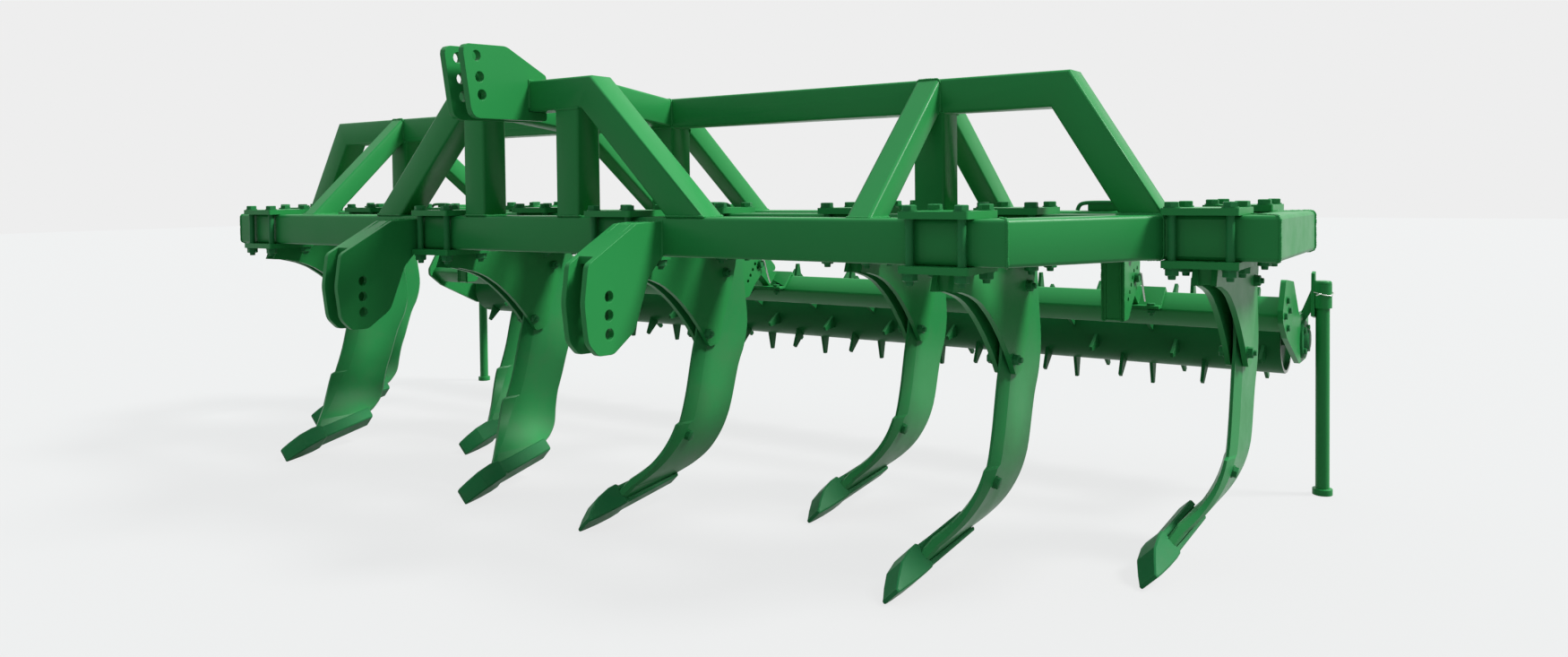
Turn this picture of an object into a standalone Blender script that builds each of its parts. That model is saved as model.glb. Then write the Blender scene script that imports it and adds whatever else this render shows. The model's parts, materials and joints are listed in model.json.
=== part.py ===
# Mounted subsoiler with eight side-bent legs, a spiked rear roller and two parking stands.
# Metres, +Z up. X runs across the working width, -Y is the front (the tractor's side).
# The ground is z = 0 and the origin is the middle of the footprint.
# Outlines are (y, z) points from the front beam's front face and from the beams' top.

from math import atan2, cos, hypot, pi, radians, sin, sqrt, tan

import bmesh
import bpy
from mathutils import Matrix, Vector

# Frame: three transverse square tubes joined by side tubes
BEAM = 0.100                 # side of the main square tube
BEAM_PITCH = 0.390           # front face to front face of neighbouring beams
BEAM_ROUND = 0.009           # rounding along a beam's edges
FRONT_HALF = 1.446           # half length of the front beam
WIDE_HALF = 1.893            # half length of the middle and rear beams
SIDE_OUTER = 1.655           # outer face of a front side tube where it meets the middle beam
REAR_SIDE_WIDE = 0.080       # width of the side tube between the middle and rear beams
SEAT_GAP = 0.0003            # gap between pieces that touch

# Upper frames
TUBE = 0.085                 # side of the square tube of the mast and truss
TUBE_ROUND = 0.007
MAST_TOP = 0.375             # top of the mast above the beams
MAST_TOP_HALF = 0.279        # half length of the mast's upper tube
MAST_FOOT_HALF = 0.655       # outer foot of a mast leg from the centre
MAST_POST_OUTER = 0.232      # outer face of a mast post from the centre
TRUSS_TOP = 0.340
TRUSS_TOP_HALF = 1.441
TRUSS_FOOT_HALF = 1.655
TRUSS_POST_OUTER = 1.118
BRACE = 0.064                # side of the braces from the truss to the beams
STRUT = 0.082                # side of the tubes from the mast to the truss
BRACE_X = 1.076              # outer braces from the centre
INNER_BRACE_X = 0.200
BRACE_FOOT = 0.030           # front brace's foot behind the front beam's front face
REAR_BRACE_FOOT = 0.111      # rear brace's back edge behind the rear beam's front face
REAR_BRACE_HEAD = 0.321      # its upper edge at the truss above the beams
STRUT_X = 0.190              # tubes from the mast back to the truss

# Tractor hitch
LINK_X = 0.4840              # lower link fork from the centre
LINK_SLOT = 0.046            # clear width between a fork's plates
LINK_PLATE = 0.016
LINK_HOLES = ((-0.194, -0.184), (-0.195, -0.229), (-0.194, -0.274))
PIN_HOLE_R = 0.0143
# y, z and rounding of a fork's corners; the first and last stand on the beam
LINK_OUTLINE = ((-SEAT_GAP, -0.010, 0), (-0.095, -0.014, 0.020), (-0.262, -0.104, 0.022),
                (-0.276, -0.196, 0.100), (-0.264, -0.290, 0.045), (-0.232, -0.322, 0.022),
                (-0.180, -0.324, 0.030), (-0.104, -0.276, 0.050), (-0.052, -0.150, 0.040),
                (-SEAT_GAP, -BEAM + 0.002, 0))
# y and z of what is open between the plates, below and ahead of the cover
LINK_OPEN = ((-0.020, -0.042), (-0.098, -0.037), (-0.226, -0.106), (-0.236, -0.060),
             (-0.400, -0.060), (-0.400, -0.400), (-0.020, -0.400))
TOP_SLOT = 0.054
TOP_PLATE = 0.020
TOP_HOLES = ((-0.180, 0.427), (-0.170, 0.372), (-0.163, 0.325))
TOP_BACK = 0.066             # back edge of the plates, behind the mast's front face
TOP_SHOULDER = 0.393         # height of their back corner
TOP_UNDER = 0.266
TOP_NOSE = ((-0.226, 0.456, 0.020), (-0.078, 0.462, 0.045))
TOP_CHIN = (-0.196, 0.262, 0.030)

# Leg holders: two clamps over neighbouring beams and a pair of cheek plates
CLAMP_HALF = 0.080           # half width of a clamp plate across the machine
CLAMP_PLATE = 0.016
CLAMP_BOLT_X = 0.061         # clamp bolts from the leg's plane
BOLT_R = 0.010
BOLT_SIDES = 6
BOLT_OUT = 0.0125            # clamp bolt axis from the beam's face
CLAMP_RIM = 0.0185           # clamp plate beyond the bolt's axis
CHEEK = 0.014
WELD_SINK = 0.003            # how far welded pieces of one solid run into each other
# y and z along a cheek's curved front edge, from the clamp down to the toe
CHEEK_FRONT = ((0.012, -0.156), (0.094, -0.168), (0.144, -0.184), (0.190, -0.209),
               (0.230, -0.238), (0.266, -0.270), (0.298, -0.302), (0.329, -0.338))
# y, z and rounding of its corners, from the toe up the back
CHEEK_BACK = ((0.362, -0.384, 0.012), (0.408, -0.378, 0.022), (0.424, -0.318, 0.030),
              (0.462, -0.240, 0.050), (0.490, -0.150, 0.040))
CHEEK_FRONT_TOP = 0.030      # front end of the cheek under the clamp
WALL_FRONT = 0.034           # cross wall between the cheeks
WALL = 0.026
WALL_LOW = -0.155
CHEEK_BOLTS = ((0.350, -0.345), (0.440, -0.175))
CHEEK_BOLT_R = 0.015
CHEEK_BOLT_HIGH = 0.013

# Side-bent legs
LEG_THICK = 0.034
LEG_CHAMFER = 0.034
LEG_EDGE = 0.010             # thickness left along the leading edge
LEG_BACK_CHAMFER = 0.010
BEND_START = 0.567           # start of the sideways bend below the beams' top
BEND_R = 0.235
BEND_DEG = 46.0
LEG_FLAT = 0.010             # straight part of the blade after the bend
# distance below the beams' top along the blade, leading edge, trailing edge; the shin starts with a step
LEG_EDGES = ((0.128, 0.340, 0.545), (0.330, 0.334, 0.572), (0.400, 0.312, 0.556),
             (0.450, 0.296, 0.528), (0.500, 0.280, 0.509), (0.550, 0.260, 0.492),
             (0.586, 0.246, 0.477), (0.592, 0.226, 0.474), (0.652, 0.198, 0.446),
             (0.707, 0.171, 0.416), (0.745, 0.152, 0.384))
FOOT_LEAD = 0.132            # leading edge of the blade at the share
SHARE_HEEL = 0.345           # heel of the share behind the holder's front beam face
SHARE_RISE = radians(9.5)    # the share climbs this much towards its heel
SHARE_LENGTH = 0.366         # heel to tip
SHARE_WIDE = 0.060
SHARE_LEAN = 0.5             # part of the share's fall that follows the blade's slant
SHARE_OUT = 0.012            # share's outer face from the blade's middle plane
SHARE_IN = 0.040             # share's inner face from it
POINT_LENGTH = 0.150         # chisel point ahead of the share bar
POINT_WIDE = 0.068
POINT_IN = 0.052

# name of the leg, distance of its plane from the centre, row (0 front, 1 rear)
LEGS = (
    ("front_inner", 0.360, 0),
    ("rear_inner", 0.840, 1),
    ("front_outer", 1.290, 0),
    ("rear_outer", 1.736, 1),
)

# Roller
DRUM_R = 0.105
DRUM_HALF = 1.748
DRUM_BACK = 1.390            # drum axis behind the front beam's front face
DRUM_DROP = 0.389            # drum axis below the beams' top
DRUM_GAP = 0.030             # drum end to end plate
SPIKE = 0.051
SPIKE_ROOT = 0.026           # width of a spike at the drum
SPIKE_TIP = 0.011
SPIKE_THICK = 0.009
SPIKE_ROWS = 10
SPIKES_PER_ROW = 14
SPIKE_MARGIN = 0.045         # first and last spike from the drum's ends
CARRIER = 0.072              # side of the roller's square carrier tube
CARRIER_BACK = 1.120
CARRIER_DROP = 0.290
END_PLATE = 0.014
END_RIM = 0.014              # end plate beyond the carrier's corners
END_HORN = (0.122, -0.207)   # y past the carrier's axis and z of the plate's upper corner
HUB_HALF = 0.064             # half side of the end plate round the shaft
END_BACK = 0.100             # end plate behind the shaft
NOTCH_DROP = 0.312           # bottom of the notch below the beams' top
SHAFT_R = 0.022
SHAFT_END = 0.040            # shaft beyond the drum
SHAFT_FIT = 0.001
ARM = 0.030                  # thickness of a roller arm
ARM_XS = (("left", -1.336), ("centre", 0.086), ("right", 1.390))
ARM_SIDE = 0.006             # arm to bracket plate
ARM_EYE = 0.034              # half height of the arm round its pivot
BRACKET_PLATE = 0.009
PIVOT_BACK = 0.945           # arm pivot behind the front beam's front face
PIVOT_DROP = 0.130
PIVOT_R = 0.014
PIVOT_PIN_R = 0.013
PIVOT_PIN_END = 0.012        # pin beyond the bracket's plates
# y past the rear beam's back face, z and rounding of a bracket's corners
BRACKET_OUTLINE = ((0.090, -0.030, 0.030), (0.158, -0.150, 0.020), (0.150, -0.205, 0.020),
                   (0.082, -0.262, 0.040), (0.046, -0.304, 0.026))
BRACKET_LOW = 0.304          # bracket's lowest edge below the beams' top
# first hole, step to the next hole down and step to the next column, all in y and z
HOLE_FIRST = (0.098, -0.172)
HOLE_STEP = (-0.014, -0.019)
HOLE_COLUMN = (0.030, 0.006)
HOLE_COUNTS = (5, 3)
ADJUST_R = 0.0065
SADDLE_HALF = 0.080          # half width of an arm's saddle over the carrier
SADDLE = 0.008
SADDLE_WIDE = 0.046          # how far the saddle runs down each side of the ridge
SADDLE_FLANGE = 0.032

# Parking stands
STAND_OUT = 0.057            # stand axis beyond the end plate's middle
STAND_BACK = 1.407
STAND_R = 0.0190
SLEEVE_R = 0.0250
SLEEVE_BORE = 0.0200
SLEEVE_TOP = 0.226           # top of the sleeve below the beams' top
SLEEVE_LENGTH = 0.070
STAND_TOP = 0.004            # stand tube's top below the sleeve's
LUG_THICK = 0.012
LUG_LOW = 0.355              # lug's lower edge below the beams' top
FOOT_R = 0.0275
FOOT_HIGH = 0.018

TOP_CLAMP = SEAT_GAP + CLAMP_PLATE
CARRIER_CORNER = CARRIER / sqrt(2)
END_X = DRUM_HALF + DRUM_GAP + END_PLATE / 2
STAND_X = END_X + STAND_OUT
LINK_REACH = -min(corner[0] for corner in LINK_OUTLINE)
REAR_REACH = DRUM_BACK + DRUM_R + SPIKE
FRONT_Y = (LINK_REACH - REAR_REACH) / 2     # front face of the front beam
PART = "subsoiler"
GREEN = (0.030, 0.260, 0.085)


def clear_scene():
    for item in list(bpy.data.objects):
        bpy.data.objects.remove(item, do_unlink=True)


def make_collection(name):
    group = bpy.data.collections.new(name)
    bpy.context.scene.collection.children.link(group)
    return group


def paint(name, colour, roughness):
    material = bpy.data.materials.new(name)
    material.use_nodes = True
    shader = material.node_tree.nodes["Principled BSDF"]
    shader.inputs["Base Color"].default_value = (*colour, 1)
    shader.inputs["Roughness"].default_value = roughness
    shader.inputs["Metallic"].default_value = 0.0
    return material


def place(name, mesh, location=(0, 0, 0)):
    """Add a named piece that shows the mesh at the location."""
    piece = bpy.data.objects.new(name, mesh)
    piece.location = location
    if not mesh.materials:
        mesh.materials.append(GREEN_PAINT)
    PARTS.objects.link(piece)


def to_mesh(shape, name="shape"):
    mesh = bpy.data.meshes.new(name)
    shape.to_mesh(mesh)
    shape.free()
    return mesh


def rise(height):
    """World height of a point that is given from the top of the beams."""
    return BEAM_TOP + height


def back(distance):
    """World Y of a point that is given from the front beam's front face."""
    return FRONT_Y + distance


def block(low, high, along=None, rounding=0.0):
    """Box between two corners, its edges along one axis rounded."""
    shape = bmesh.new()
    bmesh.ops.create_cube(shape, size=1)
    low, high = Vector(low), Vector(high)
    for vert in shape.verts:
        vert.co = Vector(low[i] + (vert.co[i] + 0.5) * (high[i] - low[i]) for i in range(3))
    if rounding:
        edges = [e for e in shape.edges if abs((e.verts[0].co - e.verts[1].co)[along]) > 1e-6]
        bmesh.ops.bevel(shape, geom=edges, offset=rounding, segments=2, profile=0.5, affect="EDGES")
    return shape


def cut(shape, point, outward):
    """Slice a convex shape by a plane and close it there."""
    geometry = shape.verts[:] + shape.edges[:] + shape.faces[:]
    bmesh.ops.bisect_plane(shape, geom=geometry, dist=1e-6, plane_co=Vector(point),
                           plane_no=Vector(outward), clear_outer=True)
    rim = [e for e in shape.edges if e.is_boundary]
    bmesh.ops.contextual_create(shape, geom=rim)
    bmesh.ops.recalc_face_normals(shape, faces=shape.faces[:])
    return shape


def rod(radius, start, end, sides=12):
    """Cylinder from one point to another."""
    start, end = Vector(start), Vector(end)
    span = end - start
    shape = bmesh.new()
    bmesh.ops.create_cone(shape, cap_ends=True, segments=sides, radius1=radius, radius2=radius,
                          depth=span.length)
    turn = span.to_track_quat("Z", "Y").to_matrix().to_4x4()
    turn.translation = (start + end) / 2
    bmesh.ops.transform(shape, matrix=turn, verts=shape.verts[:])
    return shape


def rounded(corners, steps=3):
    """Outline points from (u, v, radius) corners, each radius drawn as an arc."""
    points = []
    count = len(corners)
    for i, (u, v, radius) in enumerate(corners):
        here = Vector((u, v))
        if radius == 0:
            points.append(here)
            continue
        before = (Vector(corners[i - 1][:2]) - here).normalized()
        after = (Vector(corners[(i + 1) % count][:2]) - here).normalized()
        half = before.angle(after) / 2
        centre = here + (before + after).normalized() * radius / sin(half)
        start = here + before * radius / tan(half) - centre
        turn = (pi - 2 * half) * (1 if before.cross(after) < 0 else -1)
        for k in range(steps + 1):
            points.append(centre + Matrix.Rotation(turn * k / steps, 2) @ start)
    return points


def ring(centre, radius, sides=12):
    return [Vector((centre[0] + radius * cos(2 * pi * k / sides),
                    centre[1] + radius * sin(2 * pi * k / sides))) for k in range(sides)]


def flat_plate(outlines, thickness):
    """Plate of closed outlines in local X and Y, the inner ones being holes."""
    curve = bpy.data.curves.new("outline", "CURVE")
    curve.dimensions = "2D"
    curve.fill_mode = "BOTH"
    curve.extrude = thickness / 2
    for outline in outlines:
        spline = curve.splines.new("POLY")
        spline.points.add(len(outline) - 1)
        for point, (u, v) in zip(spline.points, outline):
            point.co = (u, v, 0, 1)
        spline.use_cyclic_u = True
    holder = bpy.data.objects.new("outline", curve)
    GUIDES.objects.link(holder)
    mesh = bpy.data.meshes.new_from_object(holder.evaluated_get(bpy.context.evaluated_depsgraph_get()))
    bpy.data.objects.remove(holder)
    shape = bmesh.new()
    shape.from_mesh(mesh)
    bmesh.ops.remove_doubles(shape, verts=shape.verts[:], dist=1e-5)
    bmesh.ops.recalc_face_normals(shape, faces=shape.faces[:])
    return shape


SIDEWAYS = Matrix(((0, 0, 1), (1, 0, 0), (0, 1, 0)))       # local X, Y to world Y, Z
ACROSS = Matrix(((1, 0, 0), (0, 0, -1), (0, 1, 0)))        # local X, Y to world X, Z


def stand_up(shape, turn, offset):
    """Turn a flat plate upright and move it."""
    matrix = turn.to_4x4()
    matrix.translation = Vector(offset)
    bmesh.ops.transform(shape, matrix=matrix, verts=shape.verts[:])
    return shape


def combine(shapes, operation="UNION"):
    """Boolean of the first shape with the others, as one mesh."""
    bodies = []
    for shape in shapes:
        body = bpy.data.objects.new("body", to_mesh(shape))
        GUIDES.objects.link(body)
        body.hide_render = True
        body.display_type = "WIRE"
        bodies.append(body)
    base = bodies[0]
    for body in bodies[1:]:
        modifier = base.modifiers.new("join", "BOOLEAN")
        modifier.operation = operation
        modifier.solver = "EXACT"
        modifier.object = body
    bpy.context.view_layer.update()
    mesh = bpy.data.meshes.new_from_object(base.evaluated_get(bpy.context.evaluated_depsgraph_get()))
    for body in bodies:
        bpy.data.objects.remove(body)
    shape = bmesh.new()
    shape.from_mesh(mesh)
    bmesh.ops.dissolve_degenerate(shape, dist=1e-6, edges=shape.edges[:])
    return shape


def loft(sections):
    """Closed solid through rings of as many points each."""
    shape = bmesh.new()
    rings = [[shape.verts.new(point) for point in section] for section in sections]
    sides = len(rings[0])
    for lower, upper in zip(rings, rings[1:]):
        for k in range(sides):
            after = (k + 1) % sides
            shape.faces.new((lower[k], lower[after], upper[after], upper[k]))
    shape.faces.new(rings[0])
    shape.faces.new(rings[-1])
    bmesh.ops.triangulate(shape, faces=[f for f in shape.faces if len(f.verts) == 4])
    bmesh.ops.recalc_face_normals(shape, faces=shape.faces[:])
    return shape


# The side-bent blade: its plane runs straight down, then bends inwards along an arc

def bend(distance):
    """Sideways offset, height and slope of the blade at a distance below the beams' top."""
    if distance <= BEND_START:
        return 0.0, -distance, 0.0
    angle = min((distance - BEND_START) / BEND_R, radians(BEND_DEG))
    flat = max(distance - BEND_START - BEND_R * radians(BEND_DEG), 0.0)
    side = BEND_R * (1 - cos(angle)) + flat * sin(angle)
    drop = BEND_START + BEND_R * sin(angle) + flat * cos(angle)
    return side, -drop, angle


def blade_point(fore, along, out):
    """Point of a right-hand leg: place fore and aft, distance along the blade, offset from its plane."""
    side, height, angle = bend(along)
    return Vector((-side + out * cos(angle), fore, height - out * sin(angle)))


BLADE_END = BEND_START + BEND_R * radians(BEND_DEG) + LEG_FLAT
DOWN_BLADE = Vector((-sin(radians(BEND_DEG)), 0, -cos(radians(BEND_DEG))))
OFF_BLADE = Vector((cos(radians(BEND_DEG)), 0, -sin(radians(BEND_DEG))))


def blade_foot(fore, out, down=0.0):
    """Point at the blade's foot, where the share lies along it: it falls towards the front."""
    side, height, _ = bend(BLADE_END)
    fall = (SHARE_HEEL - fore) * tan(SHARE_RISE)
    edge = Vector((-side - SHARE_LEAN * fall * tan(radians(BEND_DEG)), fore, height - fall))
    return edge + OFF_BLADE * out + DOWN_BLADE * down


# Cross-sections of the share: distance ahead of the heel, upper edge, lower edge, outer and inner face
SHARE_TOP = 2 * SEAT_GAP
SHARE_BAR = SHARE_LENGTH - POINT_LENGTH
SHARE_SECTIONS = (
    (0.0, SHARE_TOP, SHARE_WIDE * 0.7, SHARE_OUT, SHARE_IN * 0.8),
    (0.030, SHARE_TOP, SHARE_WIDE, SHARE_OUT, SHARE_IN),
    (SHARE_BAR, SHARE_TOP, SHARE_WIDE, SHARE_OUT, SHARE_IN),
    (SHARE_BAR + 0.020, SHARE_TOP, POINT_WIDE, SHARE_OUT, POINT_IN),
    (SHARE_LENGTH - 0.050, SHARE_TOP, POINT_WIDE, SHARE_OUT * 0.8, POINT_IN * 0.9),
    (SHARE_LENGTH, SHARE_OUT, POINT_WIDE * 0.8, -SHARE_OUT, POINT_IN * 0.7),
)


def share_ring(reach, top, low, out, inner):
    """Ring of the bar under the blade, with a small chamfer along its outer lower edge."""
    fore = SHARE_HEEL - reach * cos(SHARE_RISE)
    rim = SHARE_OUT / 2
    return [blade_foot(fore, out, top), blade_foot(fore, out, low - rim), blade_foot(fore, out - rim, low),
            blade_foot(fore, -inner, low), blade_foot(fore, -inner, top)]


SHARE_RINGS = [share_ring(*section) for section in SHARE_SECTIONS]

# The share's lowest point rests on the ground and sets the height of the beams
BEAM_TOP = -min(point.z for ring in SHARE_RINGS for point in ring)


def leg_mesh():
    """Blade with a chamfered leading edge and the stepped shin over its lower part."""
    half, edge = LEG_THICK / 2, LEG_EDGE / 2

    def section(at, lead, trail):
        return [at(lead, -edge), at(lead + LEG_CHAMFER, -half), at(trail - LEG_BACK_CHAMFER, -half),
                at(trail, 0), at(trail - LEG_BACK_CHAMFER, half), at(lead + LEG_CHAMFER, half), at(lead, edge)]

    rings = [section(lambda fore, out: blade_point(fore, along, out), lead, trail)
             for along, lead, trail in LEG_EDGES]
    rings.append(section(blade_foot, FOOT_LEAD, SHARE_HEEL))
    return to_mesh(loft(rings), "leg")


def mirrored(mesh):
    shape = bmesh.new()
    shape.from_mesh(mesh)
    bmesh.ops.scale(shape, vec=(-1, 1, 1), verts=shape.verts[:])
    bmesh.ops.reverse_faces(shape, faces=shape.faces[:])
    copy = to_mesh(shape, mesh.name + "_left")
    copy.materials.append(GREEN_PAINT)
    return copy


def clamp_solids(front):
    """One clamp round a beam whose front face is at the given place: two plates and four bolts."""
    low = front - BOLT_OUT - CLAMP_RIM
    high = front + BEAM + BOLT_OUT + CLAMP_RIM
    under = -BEAM - TOP_CLAMP
    solids = [
        block((-CLAMP_HALF, low, SEAT_GAP), (CLAMP_HALF, high, TOP_CLAMP), 2, CLAMP_PLATE),
        block((-CLAMP_HALF, low, under), (CLAMP_HALF, high, under + CLAMP_PLATE), 2, CLAMP_PLATE),
    ]
    for x in (-CLAMP_BOLT_X, CLAMP_BOLT_X):
        for y in (front - BOLT_OUT, front + BEAM + BOLT_OUT):
            solids.append(rod(BOLT_R, (x, y, under + CLAMP_PLATE - WELD_SINK),
                              (x, y, SEAT_GAP + WELD_SINK), BOLT_SIDES))
    return solids


def cheek_outline():
    top = -BEAM - TOP_CLAMP + WELD_SINK
    back_top = CHEEK_BACK[-1][0]
    front_low = CHEEK_FRONT[0][1]
    front = rounded([(back_top, top, 0), (CHEEK_FRONT_TOP, top, 0), (CHEEK_FRONT_TOP / 2, front_low, 0)])
    back_edge = rounded([(*CHEEK_FRONT[-1], 0), *CHEEK_BACK, (back_top, top, 0)])[1:-1]
    return front[:-1] + [Vector(point) for point in CHEEK_FRONT] + back_edge


def holder_mesh():
    """Holder of one leg: a clamp on each of two beams, two cheeks and the wall between them."""
    solids = clamp_solids(0) + clamp_solids(BEAM_PITCH)
    inner = LEG_THICK / 2 + SEAT_GAP
    for side in (-1, 1):
        plate = flat_plate([cheek_outline()], CHEEK)
        solids.append(stand_up(plate, SIDEWAYS, (side * (inner + CHEEK / 2), 0, 0)))
    reach = inner + WELD_SINK
    solids.append(block((-reach, WALL_FRONT, WALL_LOW),
                        (reach, WALL_FRONT + WALL, -BEAM - TOP_CLAMP + WELD_SINK)))
    for y, z in CHEEK_BOLTS:
        for side in (-1, 1):
            start = inner + CHEEK - WELD_SINK
            solids.append(rod(CHEEK_BOLT_R, (side * start, y, z),
                              (side * (start + WELD_SINK + CHEEK_BOLT_HIGH), y, z), BOLT_SIDES))
    return to_mesh(combine(solids), "holder")


def build_legs():
    leg, share, holder = leg_mesh(), to_mesh(loft(SHARE_RINGS), "share"), holder_mesh()
    sides = {"right": (1, leg, share), "left": (-1, mirrored(leg), mirrored(share))}
    for name, distance, row in LEGS:
        for side, (sign, blade, point) in sides.items():
            spot = (sign * distance, back(row * BEAM_PITCH), rise(0))
            place(f"holder_{name}_{side}", holder, spot)
            place(f"leg_{name}_{side}", blade, spot)
            place(f"share_{name}_{side}", point, spot)


def beam_box(half, front):
    return block((-half, back(front), rise(-BEAM)), (half, back(front + BEAM), rise(0)), 0, BEAM_ROUND)


def mitre(shape, outer, inner, outward, gap=SEAT_GAP / 2):
    """Cut a shape along the upright plane through two (x, y) corners, on the side that faces outward."""
    line = (Vector(outer) - Vector(inner)).normalized()
    normal = Vector((line.y, -line.x, 0))
    if normal.dot(Vector((*outward, 0))) < 0:
        normal.negate()
    return cut(shape, Vector((*outer, 0)) - normal * gap, normal)


def build_beams():
    """Three transverse beams joined by side tubes, mitred at the corners."""
    splay = SIDE_OUTER - FRONT_HALF
    run = Vector((splay, BEAM_PITCH)).normalized()
    corner = Vector((FRONT_HALF, back(0)))
    half_turn = (run - Vector((1, 0))).normalized()
    front = beam_box(FRONT_HALF, 0)
    for sign in (1, -1):
        outer = Vector((sign * corner.x, corner.y))
        mitre(front, outer, outer + Vector((sign * half_turn.x, half_turn.y)), (sign, 0))
    place("front_beam", to_mesh(front))

    tube = block((-BEAM, -BEAM, rise(-BEAM)), (0, BEAM_PITCH * 2, rise(0)), 1, BEAM_ROUND)
    turn = Matrix.Rotation(-atan2(splay, BEAM_PITCH), 4, "Z")
    turn.translation = Vector((corner.x, corner.y, 0))
    bmesh.ops.transform(tube, matrix=turn, verts=tube.verts[:])
    mitre(tube, corner, corner + half_turn, (-1, 0))
    cut(tube, (0, back(BEAM_PITCH) - SEAT_GAP, 0), (0, 1, 0))
    side = to_mesh(tube)
    place("side_tube_right", side)
    place("side_tube_left", mirrored(side))

    inner_x = WIDE_HALF - REAR_SIDE_WIDE
    rear_front = 2 * BEAM_PITCH
    middle, rear = beam_box(WIDE_HALF, BEAM_PITCH), beam_box(WIDE_HALF, rear_front)
    tube = block((inner_x, back(BEAM_PITCH), rise(-BEAM)),
                 (WIDE_HALF, back(rear_front + BEAM), rise(0)), 1, BEAM_ROUND)
    seams = ((middle, BEAM_PITCH, BEAM_PITCH + BEAM, (0, -1)), (rear, rear_front + BEAM, rear_front, (0, 1)))
    for beam, outer_y, inner_y, away in seams:
        mitre(tube, (WIDE_HALF, back(outer_y)), (inner_x, back(inner_y)), away)
        for sign in (1, -1):
            mitre(beam, (sign * WIDE_HALF, back(outer_y)), (sign * inner_x, back(inner_y)), (sign, 0))
    place("middle_beam", to_mesh(middle))
    place("rear_beam", to_mesh(rear))
    rear_side = to_mesh(tube)
    place("rear_side_tube_right", rear_side)
    place("rear_side_tube_left", mirrored(rear_side))


def portal(top, top_half, foot_half, posts_outer, front):
    """Upright frame of welded tube: upper tube, two sloping legs and posts, seen from the front."""
    slope = hypot(top, foot_half - top_half) / top
    foot_wide = TUBE * slope
    lean = (foot_half - top_half) / top
    chord = top - TUBE
    foot = SEAT_GAP
    inner_top = top_half + lean * TUBE - foot_wide
    right = [(foot_half, foot), (foot_half - foot_wide, foot), (inner_top, chord)]
    for outer in sorted(posts_outer, reverse=True):
        right += [(outer, chord), (outer, foot), (outer - TUBE, foot), (outer - TUBE, chord)]
    left = [(-u, v) for u, v in reversed(right)]
    outline = [(top_half, top)] + right + left + [(-top_half, top)]
    shape = flat_plate([[Vector(point) for point in outline]], TUBE)
    stand_up(shape, ACROSS, (0, back(front + TUBE / 2), rise(0)))
    edges = [e for e in shape.edges if len(e.link_faces) == 2 and e.calc_face_angle(0) > radians(40)
             and abs((e.verts[0].co - e.verts[1].co).y) < 1e-5]
    bmesh.ops.bevel(shape, geom=edges, offset=TUBE_ROUND, segments=2, profile=0.5, affect="EDGES")
    return to_mesh(shape)


def sloping_tube(x, start, end, start_cut, end_cut, side):
    """Square tube in a fore-and-aft plane between two (y, z) points, cut by two planes."""
    a, b = Vector((0, *start)), Vector((0, *end))
    run = (b - a).normalized()
    half, spare = side / 2, 2 * side
    shape = block((x - half, -spare, -half), (x + half, (b - a).length + spare, half), 1, TUBE_ROUND)
    turn = Matrix.Rotation(atan2(run.z, run.y), 4, "X")
    turn.translation = a
    bmesh.ops.transform(shape, matrix=turn, verts=shape.verts[:])
    for point, outward in (start_cut, end_cut):
        cut(shape, point, outward)
    return to_mesh(shape)


def build_upper_frames():
    truss_front, truss_back = BEAM_PITCH, BEAM_PITCH + TUBE
    posts = (MAST_POST_OUTER, TRUSS_POST_OUTER)
    place("mast", portal(MAST_TOP, MAST_TOP_HALF, MAST_FOOT_HALF, posts[:1], 0))
    place("truss", portal(TRUSS_TOP, TRUSS_TOP_HALF, TRUSS_FOOT_HALF, posts, truss_front))
    # braces fall from the truss to the front beam and to the rear beam
    on_beam = ((0, 0, rise(SEAT_GAP)), (0, 0, -1))
    at_truss_front = ((0, back(truss_front - SEAT_GAP), 0), (0, 1, 0))
    at_truss_back = ((0, back(truss_back + SEAT_GAP), 0), (0, -1, 0))
    at_mast = ((0, back(TUBE + SEAT_GAP), 0), (0, -1, 0))
    shift = BRACE / 2 / sin(atan2(TRUSS_TOP, truss_front - BRACE_FOOT))
    front_start = (back(BRACE_FOOT + shift), rise(0))
    front_end = (back(truss_front + shift), rise(TRUSS_TOP))
    rear_foot = 2 * BEAM_PITCH + REAR_BRACE_FOOT
    shift = BRACE / 2 / sin(atan2(REAR_BRACE_HEAD, rear_foot - truss_back))
    rear_start = (back(rear_foot - shift), rise(0))
    rear_end = (back(truss_back - shift), rise(REAR_BRACE_HEAD))
    strut_start = (back(TUBE), rise(MAST_TOP - TUBE / 2))
    strut_end = (back(truss_front), rise(TRUSS_TOP - TUBE / 2))
    for side, sign in (("left", -1), ("right", 1)):
        place(f"front_brace_{side}", sloping_tube(sign * BRACE_X, front_start, front_end, on_beam, at_truss_front, BRACE))
        for name, x in (("inner", INNER_BRACE_X), ("outer", BRACE_X)):
            place(f"rear_brace_{name}_{side}",
                  sloping_tube(sign * x, rear_start, rear_end, on_beam, at_truss_back, BRACE))
        place(f"strut_{side}", sloping_tube(sign * STRUT_X, strut_start, strut_end, at_mast, at_truss_front, STRUT))


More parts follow.
